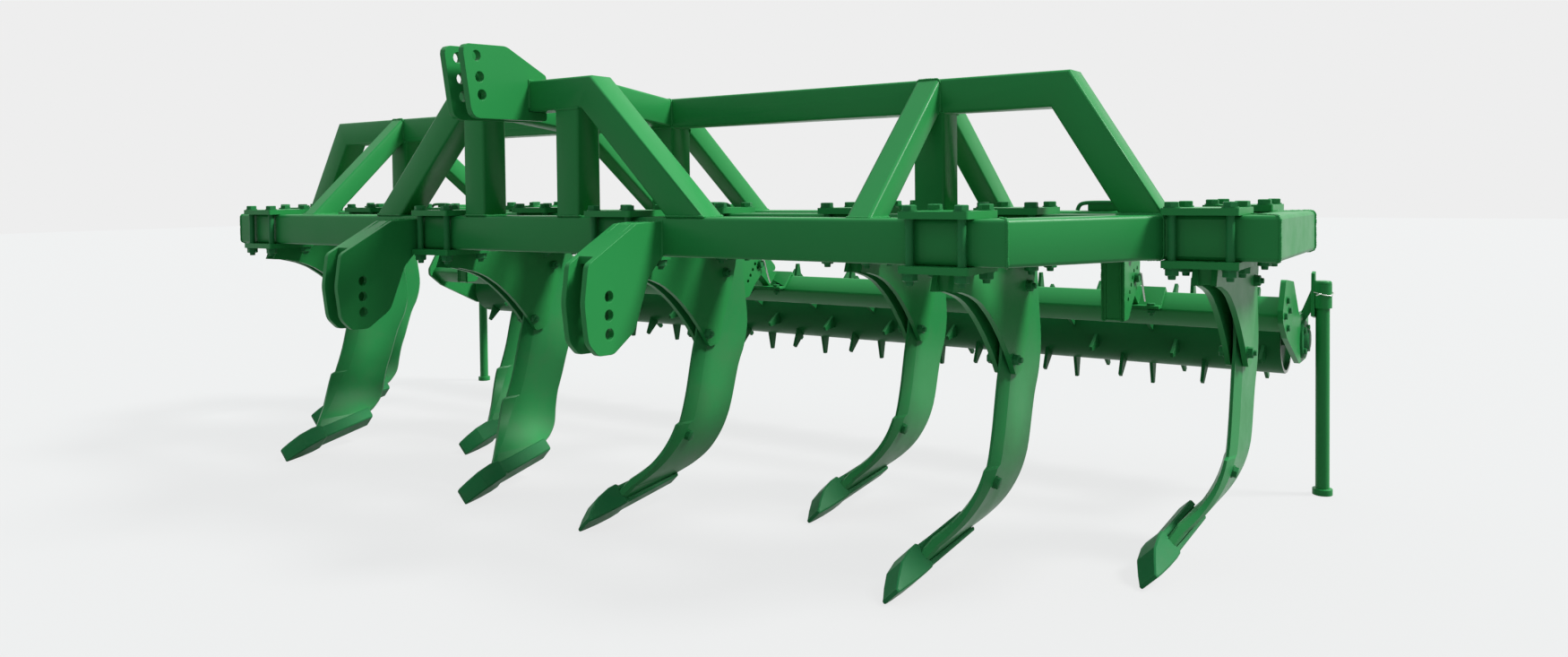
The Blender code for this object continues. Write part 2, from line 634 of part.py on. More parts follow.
def build_hitch():
    """Top link plates hooked over the mast and the two lower link forks."""
    over, under = MAST_TOP + SEAT_GAP, MAST_TOP - TUBE - SEAT_GAP
    outline = rounded([*TOP_NOSE, (TOP_BACK, TOP_SHOULDER, 0.012), (TOP_BACK, over, 0), (-SEAT_GAP, over, 0),
                       (-SEAT_GAP, under, 0), (TOP_BACK, under, 0), (TOP_BACK, TOP_UNDER, 0.008), TOP_CHIN])
    holes = [ring(spot, PIN_HOLE_R) for spot in TOP_HOLES]
    for side, sign in (("left", -1), ("right", 1)):
        plate = flat_plate([outline] + holes, TOP_PLATE)
        stand_up(plate, SIDEWAYS, (sign * (TOP_SLOT + TOP_PLATE) / 2, back(0), rise(0)))
        place(f"top_link_plate_{side}", to_mesh(plate))

    outline = [rounded(LINK_OUTLINE)] + [ring(spot, PIN_HOLE_R) for spot in LINK_HOLES]
    for side, sign in (("left", -1), ("right", 1)):
        middle = (sign * LINK_X, back(0), rise(0))
        solid = stand_up(flat_plate(outline, LINK_SLOT + 2 * LINK_PLATE), SIDEWAYS, middle)
        slot = stand_up(flat_plate([LINK_OPEN], LINK_SLOT), SIDEWAYS, middle)
        place(f"lower_link_fork_{side}", to_mesh(combine([solid, slot], "DIFFERENCE")))


def drum_mesh():
    """Drum along X about its own axis, with rows of flat tapered spikes."""
    solids = [rod(DRUM_R, (-DRUM_HALF, 0, 0), (DRUM_HALF, 0, 0), 24)]
    spikes = bmesh.new()
    reach = DRUM_R + SPIKE
    pitch = 2 * (DRUM_HALF - SPIKE_MARGIN) / (SPIKES_PER_ROW - 1 / SPIKE_ROWS)
    for row in range(SPIKE_ROWS):
        turn = Matrix.Rotation(2 * pi * row / SPIKE_ROWS, 4, "X")
        shift = pitch * ((row * 3) % SPIKE_ROWS) / SPIKE_ROWS
        for k in range(SPIKES_PER_ROW):
            x = -DRUM_HALF + SPIKE_MARGIN + shift + k * pitch
            spike = block((-SPIKE_THICK / 2, -0.5, 0), (SPIKE_THICK / 2, 0.5, 1))
            for vert in spike.verts:
                tip = vert.co.z > 0.5
                vert.co.y *= SPIKE_TIP if tip else SPIKE_ROOT
                vert.co.z = reach if tip else DRUM_R - WELD_SINK
            bmesh.ops.transform(spike, matrix=turn @ Matrix.Translation((x, 0, 0)), verts=spike.verts[:])
            spikes.from_mesh(to_mesh(spike))
    solids.append(spikes)
    for side in (-1, 1):
        solids.append(rod(SHAFT_R, (side * (DRUM_HALF - WELD_SINK), 0, 0),
                          (side * (DRUM_HALF + SHAFT_END), 0, 0), 16))
    return to_mesh(combine(solids), "drum")


def saddle_outline():
    """Bent plate over the carrier's upper ridge, with a flange along each side."""
    ridge = -CARRIER_DROP + CARRIER_CORNER + 2 * SEAT_GAP
    low = ridge - SADDLE_WIDE
    knee = SADDLE_WIDE + SADDLE * (sqrt(2) - 1)
    half = [(SADDLE_WIDE, low), (SADDLE_WIDE + SADDLE_FLANGE, low),
            (SADDLE_WIDE + SADDLE_FLANGE, low + SADDLE), (knee, low + SADDLE)]
    points = [(0, ridge)] + half + [(0, ridge + SADDLE * sqrt(2))] + [(-u, v) for u, v in reversed(half)]
    return [Vector((CARRIER_BACK + u, v)) for u, v in points]


def arm_mesh():
    """Roller arm from its pivot eye down to the saddle on the carrier."""
    saddle_top = -CARRIER_DROP + CARRIER_CORNER
    outline = rounded([
        (PIVOT_BACK - ARM_EYE, -PIVOT_DROP + ARM_EYE, 0.030), (PIVOT_BACK + ARM_EYE, -PIVOT_DROP + ARM_EYE, 0.030),
        (CARRIER_BACK + SADDLE_WIDE, saddle_top - SADDLE_WIDE / 2 + SADDLE, 0.012),
        (CARRIER_BACK, saddle_top + SADDLE / 2, 0),
        (CARRIER_BACK - SADDLE_WIDE, saddle_top - SADDLE_WIDE + SADDLE, 0),
        (PIVOT_BACK - ARM_EYE, -PIVOT_DROP - ARM_EYE / 2, 0.020)])
    hole = ring((PIVOT_BACK, -PIVOT_DROP), PIVOT_R, 16)
    plate = stand_up(flat_plate([outline, hole], ARM), SIDEWAYS, (0, 0, 0))
    saddle = stand_up(flat_plate([saddle_outline()], 2 * SADDLE_HALF), SIDEWAYS, (0, 0, 0))
    return to_mesh(combine([plate, saddle]), "arm")


def bracket_mesh():
    """Channel behind the rear beam: two perforated plates, the web between them and the arm's pin."""
    beam_back = 2 * BEAM_PITCH + BEAM + SEAT_GAP
    outline = rounded([(beam_back, -BEAM_ROUND, 0)]
                      + [(beam_back + y, z, radius) for y, z, radius in BRACKET_OUTLINE]
                      + [(beam_back, -BRACKET_LOW, 0)])
    holes = []
    for column, count in enumerate(HOLE_COUNTS):
        for k in range(count):
            holes.append(ring((beam_back + HOLE_FIRST[0] + column * HOLE_COLUMN[0] + k * HOLE_STEP[0],
                               HOLE_FIRST[1] + column * HOLE_COLUMN[1] + k * HOLE_STEP[1]), ADJUST_R, 8))
    slot = ARM + 2 * ARM_SIDE
    solids = []
    for sign in (-1, 1):
        wall = flat_plate([outline] + holes, BRACKET_PLATE)
        solids.append(stand_up(wall, SIDEWAYS, (sign * (slot + BRACKET_PLATE) / 2, 0, 0)))
    reach = slot / 2 + WELD_SINK
    solids.append(block((-reach, beam_back + SEAT_GAP, -BRACKET_LOW + WELD_SINK),
                        (reach, beam_back + BRACKET_PLATE, -BEAM_ROUND - WELD_SINK)))
    end = slot / 2 + BRACKET_PLATE + PIVOT_PIN_END
    solids.append(rod(PIVOT_PIN_R, (-end, PIVOT_BACK, -PIVOT_DROP), (end, PIVOT_BACK, -PIVOT_DROP), 16))
    return to_mesh(combine(solids), "bracket")


def end_mesh(sign):
    """End of the roller frame: plate round the shaft and carrier, stand sleeve and the lug to it."""
    corner = CARRIER_CORNER + END_RIM
    horn = CARRIER_BACK + END_HORN[0]
    outline = rounded([
        (CARRIER_BACK - corner, -CARRIER_DROP - END_RIM, 0.020),
        (CARRIER_BACK - corner, -CARRIER_DROP + END_RIM, 0.020),
        (CARRIER_BACK - END_RIM, END_HORN[1] + END_RIM, 0.016), (horn - END_RIM, END_HORN[1], 0.016),
        (DRUM_BACK - HUB_HALF, -NOTCH_DROP, 0.006), (DRUM_BACK + END_BACK, -NOTCH_DROP, 0.016),
        (DRUM_BACK + END_BACK, -DRUM_DROP, 0.040), (DRUM_BACK + HUB_HALF, -DRUM_DROP - HUB_HALF, 0.026), (DRUM_BACK - HUB_HALF, -DRUM_DROP - HUB_HALF, 0.026),
        (CARRIER_BACK, -CARRIER_DROP - corner, 0.020)])
    hub = ring((DRUM_BACK, -DRUM_DROP), SHAFT_R + SHAFT_FIT, 16)
    plate = stand_up(flat_plate([outline, hub], END_PLATE), SIDEWAYS, (sign * END_X, 0, 0))
    stand = (sign * STAND_X, STAND_BACK)
    sleeve = flat_plate([ring(stand, SLEEVE_R, 20), ring(stand, SLEEVE_BORE, 20)], SLEEVE_LENGTH)
    bmesh.ops.translate(sleeve, vec=(0, 0, -SLEEVE_TOP - SLEEVE_LENGTH / 2), verts=sleeve.verts[:])
    near, far = sign * END_X, sign * (STAND_X - SLEEVE_BORE - WELD_SINK)
    lug = flat_plate([[Vector(point) for point in (
        (near, -LUG_LOW), (near, -NOTCH_DROP), (far, -SLEEVE_TOP), (far, -SLEEVE_TOP - SLEEVE_LENGTH))]], LUG_THICK)
    stand_up(lug, ACROSS, (0, STAND_BACK, 0))
    return to_mesh(combine([plate, sleeve, lug]), "end")


def build_roller():
    """Carrier tube on three arms, with the drum between its end plates."""
    place("roller_drum", drum_mesh(), (0, back(DRUM_BACK), rise(-DRUM_DROP)))
    length = END_X - END_PLATE / 2 - SEAT_GAP
    tube = block((-length, -CARRIER / 2, -CARRIER / 2), (length, CARRIER / 2, CARRIER / 2), 0, TUBE_ROUND)
    bmesh.ops.transform(tube, matrix=Matrix.Rotation(radians(45), 4, "X"), verts=tube.verts[:])
    place("carrier_tube", to_mesh(tube), (0, back(CARRIER_BACK), rise(-CARRIER_DROP)))
    arm, bracket = arm_mesh(), bracket_mesh()
    for name, x in ARM_XS:
        place(f"roller_arm_{name}", arm, (x, back(0), rise(0)))
        place(f"roller_bracket_{name}", bracket, (x, back(0), rise(0)))
    for side, sign in (("left", -1), ("right", 1)):
        place(f"roller_end_{side}", end_mesh(sign), (0, back(0), rise(0)))
        leg = rod(STAND_R, (0, 0, FOOT_HIGH / 2), (0, 0, rise(-SLEEVE_TOP - STAND_TOP)), 20)
        foot = rod(FOOT_R, (0, 0, 0), (0, 0, FOOT_HIGH), 20)
        place(f"stand_leg_{side}", to_mesh(combine([foot, leg])), (sign * STAND_X, back(STAND_BACK), 0))


clear_scene()
PARTS = make_collection(PART)
GUIDES = make_collection("guides")
GREEN_PAINT = paint("green_paint", GREEN, 0.35)
build_beams()
build_upper_frames()
build_hitch()
build_legs()
build_roller()
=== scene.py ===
# %% [markdown]
# # A mounted subsoiler, painted green
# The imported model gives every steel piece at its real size. This script gives them their
# surfaces: rounded edges, gloss paint, bolts, nuts and weld beads, then a floor, light and camera.
# Everything is in metres, +Z up, with the tractor's side of the machine towards -Y.

import json
from math import cos, pi, radians, sin, tan

import bmesh
import bpy
from mathutils import Matrix, Vector

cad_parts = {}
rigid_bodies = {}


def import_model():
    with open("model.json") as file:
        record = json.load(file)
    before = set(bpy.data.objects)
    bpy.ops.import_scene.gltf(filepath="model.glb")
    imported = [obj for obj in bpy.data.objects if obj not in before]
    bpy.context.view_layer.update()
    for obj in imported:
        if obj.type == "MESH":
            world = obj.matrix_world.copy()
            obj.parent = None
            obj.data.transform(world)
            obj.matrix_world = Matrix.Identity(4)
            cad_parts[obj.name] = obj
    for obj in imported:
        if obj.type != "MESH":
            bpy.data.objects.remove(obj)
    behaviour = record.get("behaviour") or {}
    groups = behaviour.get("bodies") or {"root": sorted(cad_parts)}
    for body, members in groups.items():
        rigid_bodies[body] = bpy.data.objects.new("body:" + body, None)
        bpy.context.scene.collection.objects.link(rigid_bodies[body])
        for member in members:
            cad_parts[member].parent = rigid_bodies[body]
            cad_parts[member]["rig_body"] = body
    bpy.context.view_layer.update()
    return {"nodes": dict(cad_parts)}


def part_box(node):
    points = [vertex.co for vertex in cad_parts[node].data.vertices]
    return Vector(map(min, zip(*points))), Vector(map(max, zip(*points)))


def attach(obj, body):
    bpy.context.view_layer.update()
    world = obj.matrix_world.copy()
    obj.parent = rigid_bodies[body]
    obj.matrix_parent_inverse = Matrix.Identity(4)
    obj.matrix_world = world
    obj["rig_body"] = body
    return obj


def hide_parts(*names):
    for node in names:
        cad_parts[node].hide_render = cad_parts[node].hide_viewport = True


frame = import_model()

# %% [markdown]
# The front beam is the place that everything else is measured from, as on the real machine.
# Its box gives the top of the beams and their front face, and a few more boxes give the rest.

# %% Places worked out from the frame
front_low, front_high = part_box("front_beam")
BEAM_TOP = front_high.z
FRONT_Y = front_low.y
BEAM = front_high.z - front_low.z
BEAM_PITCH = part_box("middle_beam")[0].y - FRONT_Y
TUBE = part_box("mast")[1].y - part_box("mast")[0].y


def at(x, back, up):
    """Point at x, so far behind the front beam's front face and so far above the beams."""
    return Vector((x, FRONT_Y + back, BEAM_TOP + up))



print("beams' top", round(BEAM_TOP, 4), "front face", round(FRONT_Y, 4),
      "side", round(BEAM, 4), "pitch", round(BEAM_PITCH, 4))

# %% [markdown]
# A picture taken close to a machine shows strong perspective. The camera therefore stands close, a
# little above the beams and in front of the right-hand end, with a short lens.

# %% Camera
def put(name, data):
    """New object in the scene."""
    item = bpy.data.objects.new(name, data)
    bpy.context.scene.collection.objects.link(item)
    return item


IMAGE_WIDTH, IMAGE_HEIGHT = 1750, 733
EYE = at(2.290, -2.048, 0.064)
YAW, PITCH, ROLL = radians(34.237), radians(1.438), radians(-0.618)
FOCAL_PIXELS = 1188.6
AXIS_ROW = 242.4             # row of the picture that the lens axis meets

forward = Vector((-sin(YAW) * cos(PITCH), cos(YAW) * cos(PITCH), -sin(PITCH)))
level = Vector((cos(YAW), sin(YAW), 0))
up = level.cross(forward)
right = level * cos(ROLL) + up * sin(ROLL)
up = up * cos(ROLL) - level * sin(ROLL)
camera_data = bpy.data.cameras.new("camera")
camera_data.sensor_width = 36
camera_data.lens = 36 * FOCAL_PIXELS / IMAGE_WIDTH
camera_data.shift_y = (AXIS_ROW - IMAGE_HEIGHT / 2) / IMAGE_WIDTH
camera = put("camera", camera_data)
camera.matrix_world = Matrix.Translation(EYE) @ Matrix((right, up, -forward)).transposed().to_4x4()
bpy.context.scene.camera = camera
print("camera", [round(value, 3) for value in EYE])

# %% [markdown]
# A material is a tree of nodes. One small helper adds a node, sets its options and joins its inputs,
# so that a tree reads like a list of its steps. The Geometry Nodes further down use it as well.

# %% Building with nodes
def wire_up(tree, kind, inputs=None, **settings):
    """Add a node, set its options, and link or set its inputs."""
    node = tree.nodes.new(kind)
    for key, value in settings.items():
        setattr(node, key, value)
    for key, value in (inputs or {}).items():
        if isinstance(value, bpy.types.NodeSocket):
            tree.links.new(value, node.inputs[key])
        else:
            node.inputs[key].default_value = value
    return node


print("a node can now be added in one line")

# %% [markdown]
# The whole machine has one coat of gloss enamel. Sprayed enamel is never one flat colour: its shade
# drifts over a hand's width, its gloss is patchy, and the film has a fine ripple like orange skin.
# Three noise patterns on the object's own coordinates give these, so they stay put on the steel.

# %% Gloss enamel
DUST_COLOUR = (0.13, 0.15, 0.10)


def enamel(name, light, dark, gloss, dust=0.0, dust_scale=9.0, sheen=0.14):
    """Sprayed paint between two shades, rougher and browner where dust clings to it."""
    material = bpy.data.materials.new(name)
    material.use_nodes = True
    tree = material.node_tree
    shader = tree.nodes["Principled BSDF"]
    place = wire_up(tree, "ShaderNodeTexCoord").outputs["Object"]
    drift = wire_up(tree, "ShaderNodeTexNoise", {"Vector": place, "Scale": 2.6, "Detail": 3.0})
    shade = wire_up(tree, "ShaderNodeMix", {"Factor": drift.outputs["Fac"], "A": (*dark, 1),
                                            "B": (*light, 1)}, data_type="RGBA")
    colour = shade.outputs["Result"]
    patch = wire_up(tree, "ShaderNodeTexNoise", {"Vector": place, "Scale": dust_scale, "Detail": 6.0,
                                                 "Roughness": 0.6}).outputs["Fac"]
    rough = wire_up(tree, "ShaderNodeMapRange", {"Value": patch, "From Min": 0.35, "From Max": 0.7,
                                                 "To Min": gloss, "To Max": gloss + 0.12 + dust * 0.3})
    if dust:
        film = wire_up(tree, "ShaderNodeMapRange", {"Value": patch, "From Min": 0.47, "From Max": 0.72,
                                                    "To Min": 0.0, "To Max": dust})
        cling = wire_up(tree, "ShaderNodeMix", {"Factor": film.outputs["Result"], "A": colour,
                                                "B": (*DUST_COLOUR, 1)}, data_type="RGBA")
        colour = cling.outputs["Result"]
    skin = wire_up(tree, "ShaderNodeTexNoise", {"Vector": place, "Scale": 210.0, "Detail": 1.5})
    ripple = wire_up(tree, "ShaderNodeBump", {"Height": skin.outputs["Fac"], "Strength": 0.10,
                                              "Distance": 0.0006})
    tree.links.new(colour, shader.inputs["Base Color"])
    tree.links.new(rough.outputs["Result"], shader.inputs["Roughness"])
    tree.links.new(ripple.outputs["Normal"], shader.inputs["Normal"])
    shader.inputs["Specular IOR Level"].default_value = sheen
    return material


ENAMEL = enamel("green enamel", (0.027, 0.262, 0.066), (0.021, 0.228, 0.056), 0.30)
BOLT_ENAMEL = enamel("green enamel on bolts", (0.026, 0.225, 0.066), (0.017, 0.150, 0.046), 0.40, 0.08, 30.0)
SHIN_ENAMEL = enamel("green enamel on shins", (0.030, 0.262, 0.072), (0.022, 0.215, 0.060), 0.30, 0.16)
# The shares' enamel is set darker than the frame's.
SHARE_ENAMEL = enamel("green enamel on shares", (0.024, 0.205, 0.066), (0.017, 0.150, 0.048), 0.40, 0.10,
                      22.0, sheen=0.10)
# The drum's enamel is darker than the frame's: painted shade for the shadow that the beams cast on the drum.
# Its dust film is real dust.
DRUM_ENAMEL_WITH_PAINTED_SHADE = enamel("green enamel on the drum", (0.015, 0.165, 0.042), (0.010, 0.115, 0.030), 0.36, 0.06,
                     14.0, sheen=0.10)
print("paints", [material.name for material in bpy.data.materials if "enamel" in material.name])

# %% [markdown]
# The retaining clips are spring wire with a zinc finish, and the drum's end ring is worn bright
# where soil rubs it. Both are metals: their colour is the colour of their reflections.

# %% Bare metals
def bare_metal(name, tint, low, high, scale):
    """Metal whose roughness changes in patches, with fine scratches in its surface."""
    material = bpy.data.materials.new(name)
    material.use_nodes = True
    tree = material.node_tree
    shader = tree.nodes["Principled BSDF"]
    place = wire_up(tree, "ShaderNodeTexCoord").outputs["Object"]
    patch = wire_up(tree, "ShaderNodeTexNoise", {"Vector": place, "Scale": scale,
                                                 "Detail": 5.0}).outputs["Fac"]
    rough = wire_up(tree, "ShaderNodeMapRange", {"Value": patch, "To Min": low, "To Max": high})
    shade = wire_up(tree, "ShaderNodeMix", {"Factor": patch, "A": (*tint, 1),
                                            "B": (*[value * 0.6 for value in tint], 1)}, data_type="RGBA")
    bump = wire_up(tree, "ShaderNodeBump", {"Height": patch, "Strength": 0.15, "Distance": 0.0004})
    tree.links.new(rough.outputs["Result"], shader.inputs["Roughness"])
    tree.links.new(shade.outputs["Result"], shader.inputs["Base Color"])
    tree.links.new(bump.outputs["Normal"], shader.inputs["Normal"])
    shader.inputs["Metallic"].default_value = 1.0
    return material


ZINC = bare_metal("zinc plated wire", (0.62, 0.66, 0.60), 0.25, 0.45, 60)
WORN_STEEL = bare_metal("worn steel", (0.55, 0.58, 0.54), 0.30, 0.60, 40)
print("metals", ZINC.name, "and", WORN_STEEL.name)

# %% [markdown]
# Every finished mesh enters the scene in the same way: it gets its material, and rides on the body that it
# moves with. A narrow bevel catches the light along each edge, as on real plates, and weighted normals keep
# the large faces flat. A mesh with no bevel is shaded smooth up to an angle.

# %% Showing a finished mesh
def show(name, mesh, body, material, edge=0.0, smooth=38):
    """Put a finished mesh in the scene, riding on its body: material, and rounded or sharp edges."""
    mesh.materials.clear()
    mesh.materials.append(material)
    mesh.shade_smooth()
    item = put(name, mesh)
    if edge:
        bevel = item.modifiers.new("rounded edges", "BEVEL")
        bevel.width = edge
        bevel.segments = 2
        bevel.limit_method = "ANGLE"
        bevel.angle_limit = radians(30)
        item.modifiers.new("flat faces", "WEIGHTED_NORMAL")
    else:
        mesh.set_sharp_from_angle(angle=radians(smooth))
    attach(item, body)
    return item


# %% [markdown]
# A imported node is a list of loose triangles. To round its corners a copy is merged first, and flat
# neighbours are joined again into whole faces. The copy then stands in for the node.

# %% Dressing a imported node
SIDES = (("left", -1), ("right", 1))


def merged(node):
    """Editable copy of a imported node, its triangles joined into whole faces."""
    shape = bmesh.new()
    shape.from_mesh(frame["nodes"][node].data)
    bmesh.ops.remove_doubles(shape, verts=shape.verts[:], dist=2e-5)
    bmesh.ops.dissolve_limit(shape, angle_limit=radians(1), verts=shape.verts[:], edges=shape.edges[:])
    return shape


def to_mesh(shape, name):
    """Mesh data of a shape, which is used up."""
    mesh = bpy.data.meshes.new(name)
    shape.to_mesh(mesh)
    shape.free()
    return mesh


def dress(node, edge=0.0):
    """Show a painted copy of a node in its place."""
    body = frame["nodes"][node]["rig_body"]
    item = show(node + "_painted", to_mesh(merged(node), node), body, ENAMEL, edge, smooth=50)
    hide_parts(node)
    return item


def by_side(*stems):
    """Names with _left and _right added."""
    return [f"{stem}_{side}" for stem in stems for side, _ in SIDES]


print(len(frame["nodes"]), "packed nodes to dress or replace")

# %% [markdown]
# The beams, the mast, the truss and their braces are square tube. Their long edges are rounded in
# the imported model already, so these need only smooth shading over that rounding.

# %% Tubes
TUBES = (["front_beam", "middle_beam", "rear_beam", "mast", "truss"]
         + by_side("side_tube", "rear_side_tube", "front_brace", "rear_brace_inner", "rear_brace_outer",
                   "strut"))
for node in TUBES:
    dress(node)
dress("carrier_tube")
print("painted", len(TUBES) + 1, "tubes")

# %% [markdown]
# Plates that were cut by flame or saw have a small rounded edge, 1 mm to 2 mm, which shows as a
# bright line. The hitch plates, the roller's arms, brackets and end plates get it from a bevel.

# %% Plates
PLACES = ("left", "centre", "right")
PLATES = by_side("top_link_plate", "lower_link_fork") + [f"roller_bracket_{place}" for place in PLACES]
ROLLER_PLATES = [f"roller_arm_{place}" for place in PLACES] + by_side("roller_end")
STANDS = by_side("stand_leg")
for node in PLATES:
    dress(node, edge=0.0016)
for node in ROLLER_PLATES:
    dress(node, edge=0.0014)
for node in STANDS:
    dress(node, edge=0.0012)
print("painted", len(PLATES) + len(ROLLER_PLATES), "plates and", len(STANDS), "stands")

# %% [markdown]
# Each leg holder clamps two beams. A real one is bought-in flat steel, four bolts to a clamp, and two
# curved cheek plates with the leg between them. It is built here again from separate plates, so that
# each has its own edges and the dark gaps between them show.

# %% Plates from outlines
def plate_from(outline, low, high, turn):
    """Solid plate from a closed outline, between two distances along its normal."""
    shape = bmesh.new()
    lower = [shape.verts.new(turn(u, v, low)) for u, v in outline]
    upper = [shape.verts.new(turn(u, v, high)) for u, v in outline]
    shape.faces.new(lower)
    shape.faces.new(upper)
    count = len(outline)
    for k in range(count):
        after = (k + 1) % count
        shape.faces.new((lower[k], lower[after], upper[after], upper[k]))
    bmesh.ops.recalc_face_normals(shape, faces=shape.faces[:])
    return shape


def rounded(corners, steps=5):
    """Outline through (u, v, radius) corners, each radius drawn as an arc."""
    points = []
    for i, (u, v, radius) in enumerate(corners):
        here = Vector((u, v))
        if not radius:
            points.append(here)
            continue
        before = (Vector(corners[i - 1][:2]) - here).normalized()
        after = (Vector(corners[(i + 1) % len(corners)][:2]) - here).normalized()
        half = before.angle(after) / 2
        centre = here + (before + after).normalized() * radius / sin(half)
        start = here + before * radius / tan(half) - centre
        turn = (pi - 2 * half) * (1 if before.cross(after) < 0 else -1)
        points += [centre + Matrix.Rotation(turn * k / steps, 2) @ start for k in range(steps + 1)]
    return points


def rectangle(low_u, low_v, high_u, high_v):
    """Outline of a rectangle between two corners."""
    corners = ((low_u, low_v), (high_u, low_v), (high_u, high_v), (low_u, high_v))
    return [Vector(corner) for corner in corners]


def upright(x):
    """Turn an outline of (back, up) points into a plate across the machine at x."""
    return lambda u, v, w: at(x + w, u, v)


def flat(u, v, w):
    """Turn an outline of (x, back) points into a level plate."""
    return at(u, v, w)


print("plates can be cut from outlines")

# %% [markdown]
# Shanks, bearings, caps and the drum are round. They are turned from a profile, a list of distances
# along the axis with the radius at each, which closes on the axis or on itself.

# %% Turned shapes
def turned(profile, start, along, sides):
    """Solid of revolution from (distance, radius) points along a direction."""
    along = Vector(along).normalized()
    across = along.orthogonal().normalized()
    other = along.cross(across)
    shape = bmesh.new()
    rings = []
    for distance, radius in profile:
        centre = Vector(start) + along * distance
        if radius == 0:
            rings.append([shape.verts.new(centre)] * sides)
            continue
        rings.append([shape.verts.new(centre + across * radius * cos(2 * pi * k / sides)
                                      + other * radius * sin(2 * pi * k / sides)) for k in range(sides)])
    for lower, upper in zip(rings, rings[1:]):
        for k in range(sides):
            corners = [lower[k], lower[(k + 1) % sides], upper[(k + 1) % sides], upper[k]]
            shape.faces.new(list(dict.fromkeys(corners)))
    bmesh.ops.recalc_face_normals(shape, faces=shape.faces[:])
    return shape


def pile(shapes, name):
    """Several closed shapes as one mesh."""
    whole = bmesh.new()
    for shape in shapes:
        whole.from_mesh(to_mesh(shape, "piece"))
    return to_mesh(whole, name)


print("round pieces can be turned from profiles")

# %% [markdown]
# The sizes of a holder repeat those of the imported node, which is measured where it can be.
# A table gives each leg's distance from the centre line and its row.

# %% Clamps and cheeks
def middle_x(node):
    """Place of a node's middle across the machine."""
    low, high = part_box(node)
    return (low.x + high.x) / 2


LEGS = [(name, abs(middle_x(f"holder_{name}_right")), row)
        for name, row in (("front_inner", 0), ("rear_inner", 1), ("front_outer", 0), ("rear_outer", 1))]
CLAMP_HALF, CLAMP_PLATE, CLAMP_CORNER, CLAMP_BOLT_X = 0.082, 0.016, 0.006, 0.061
BOLT_OUT, CLAMP_RIM, SHANK_R = 0.0125, 0.0185, 0.0092
SEAT = 0.0003                # paint-thin gap between pieces that touch
LEG_THICK, CHEEK = 0.027, 0.013
CHEEK_TOP = -BEAM - SEAT - CLAMP_PLATE
CHEEK_FRONT = ((0.012, -0.156), (0.060, -0.160), (0.094, -0.168), (0.120, -0.175), (0.144, -0.184),
               (0.168, -0.195), (0.190, -0.209), (0.211, -0.223), (0.230, -0.238), (0.249, -0.254),
               (0.266, -0.270), (0.283, -0.286), (0.298, -0.303), (0.314, -0.320), (0.329, -0.338))
CHEEK_BACK = ((0.362, -0.384, 0.012), (0.408, -0.378, 0.022), (0.424, -0.318, 0.030),
              (0.462, -0.240, 0.050), (0.490, -0.150, 0.040))
CHEEK_FRONT_TOP = 0.030
WALL_HALF, WALL_FRONT, WALL_BACK, WALL_LOW = 0.016, 0.034, 0.060, -0.155    # between the cheeks' tops


def clamp_shapes(x, front):
    """Two plates and four bolt shanks of the clamp on the beam whose front face is given."""
    low, high = front - BOLT_OUT - CLAMP_RIM, front + BEAM + BOLT_OUT + CLAMP_RIM
    corners = rectangle(x - CLAMP_HALF, low, x + CLAMP_HALF, high)
    outline = rounded([(*corner, CLAMP_CORNER) for corner in corners], 3)
    plates = [plate_from(outline, SEAT, SEAT + CLAMP_PLATE, flat),
              plate_from(outline, CHEEK_TOP, -BEAM - SEAT, flat)]
    shanks = []
    for dx in (-CLAMP_BOLT_X, CLAMP_BOLT_X):
        for y in (front - BOLT_OUT, front + BEAM + BOLT_OUT):
            foot = at(x + dx, y, CHEEK_TOP + CLAMP_PLATE / 2)
            length = BEAM + CLAMP_PLATE
            shanks.append(turned(((0, 0), (0, SHANK_R), (length, SHANK_R), (length, 0)), foot, (0, 0, 1), 16))
    return plates, shanks


def cheek_plate(x, front, side):
    """One curved plate beside the leg."""
    outline = rounded([(CHEEK_BACK[-1][0], CHEEK_TOP, 0), (CHEEK_FRONT_TOP, CHEEK_TOP, 0),
                       (CHEEK_FRONT_TOP / 2, CHEEK_FRONT[0][1], 0), *[(u, v, 0) for u, v in CHEEK_FRONT],
                       *CHEEK_BACK])
    inner = LEG_THICK / 2 + SEAT
    low, high = sorted((side * inner, side * (inner + CHEEK)))
    return plate_from([(u + front, v) for u, v in outline], low, high, upright(x))


print("legs at", [round(distance, 3) for _, distance, _ in LEGS], "from the centre line")

# %% [markdown]
# A holder is a clamp on each of two beams, the two cheeks, and a block that keeps them apart in front of
# the leg. The clamps' bolt shanks are a piece of their own, because bolts are not as glossy as plates.

# %% Eight holders
for name, distance, row in LEGS:
    for side, sign in SIDES:
        x, front = sign * distance, row * BEAM_PITCH
        plates, shanks = [], []
        for beam in (front, front + BEAM_PITCH):
            more_plates, more_shanks = clamp_shapes(x, beam)
            plates += more_plates
            shanks += more_shanks
        plates += [cheek_plate(x, front, -1), cheek_plate(x, front, 1)]
        wall = rectangle(x - WALL_HALF, front + WALL_FRONT, x + WALL_HALF, front + WALL_BACK)
        plates.append(plate_from(wall, WALL_LOW, CHEEK_TOP, flat))
        holder = show(f"holder_plates_{name}_{side}", pile(plates, "holder"), "main_frame", ENAMEL,
                      edge=0.0015)
        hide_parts(f"holder_{name}_{side}")
        show(f"clamp_shanks_{name}_{side}", pile(shanks, "shanks"), "main_frame", BOLT_ENAMEL)
print("built", 2 * len(LEGS), "holders")

# %% [markdown]
# A side-bent leg is a thick blade that runs straight down and then bends inwards under the soil.
# Its shape follows a rule, so it is lofted: a table gives its leading and trailing edge at each
# distance down the blade, and a bend of constant radius turns that distance into height and offset.
# Many rings make the bend smooth, and a spline between the table's rows keeps the edges fair.

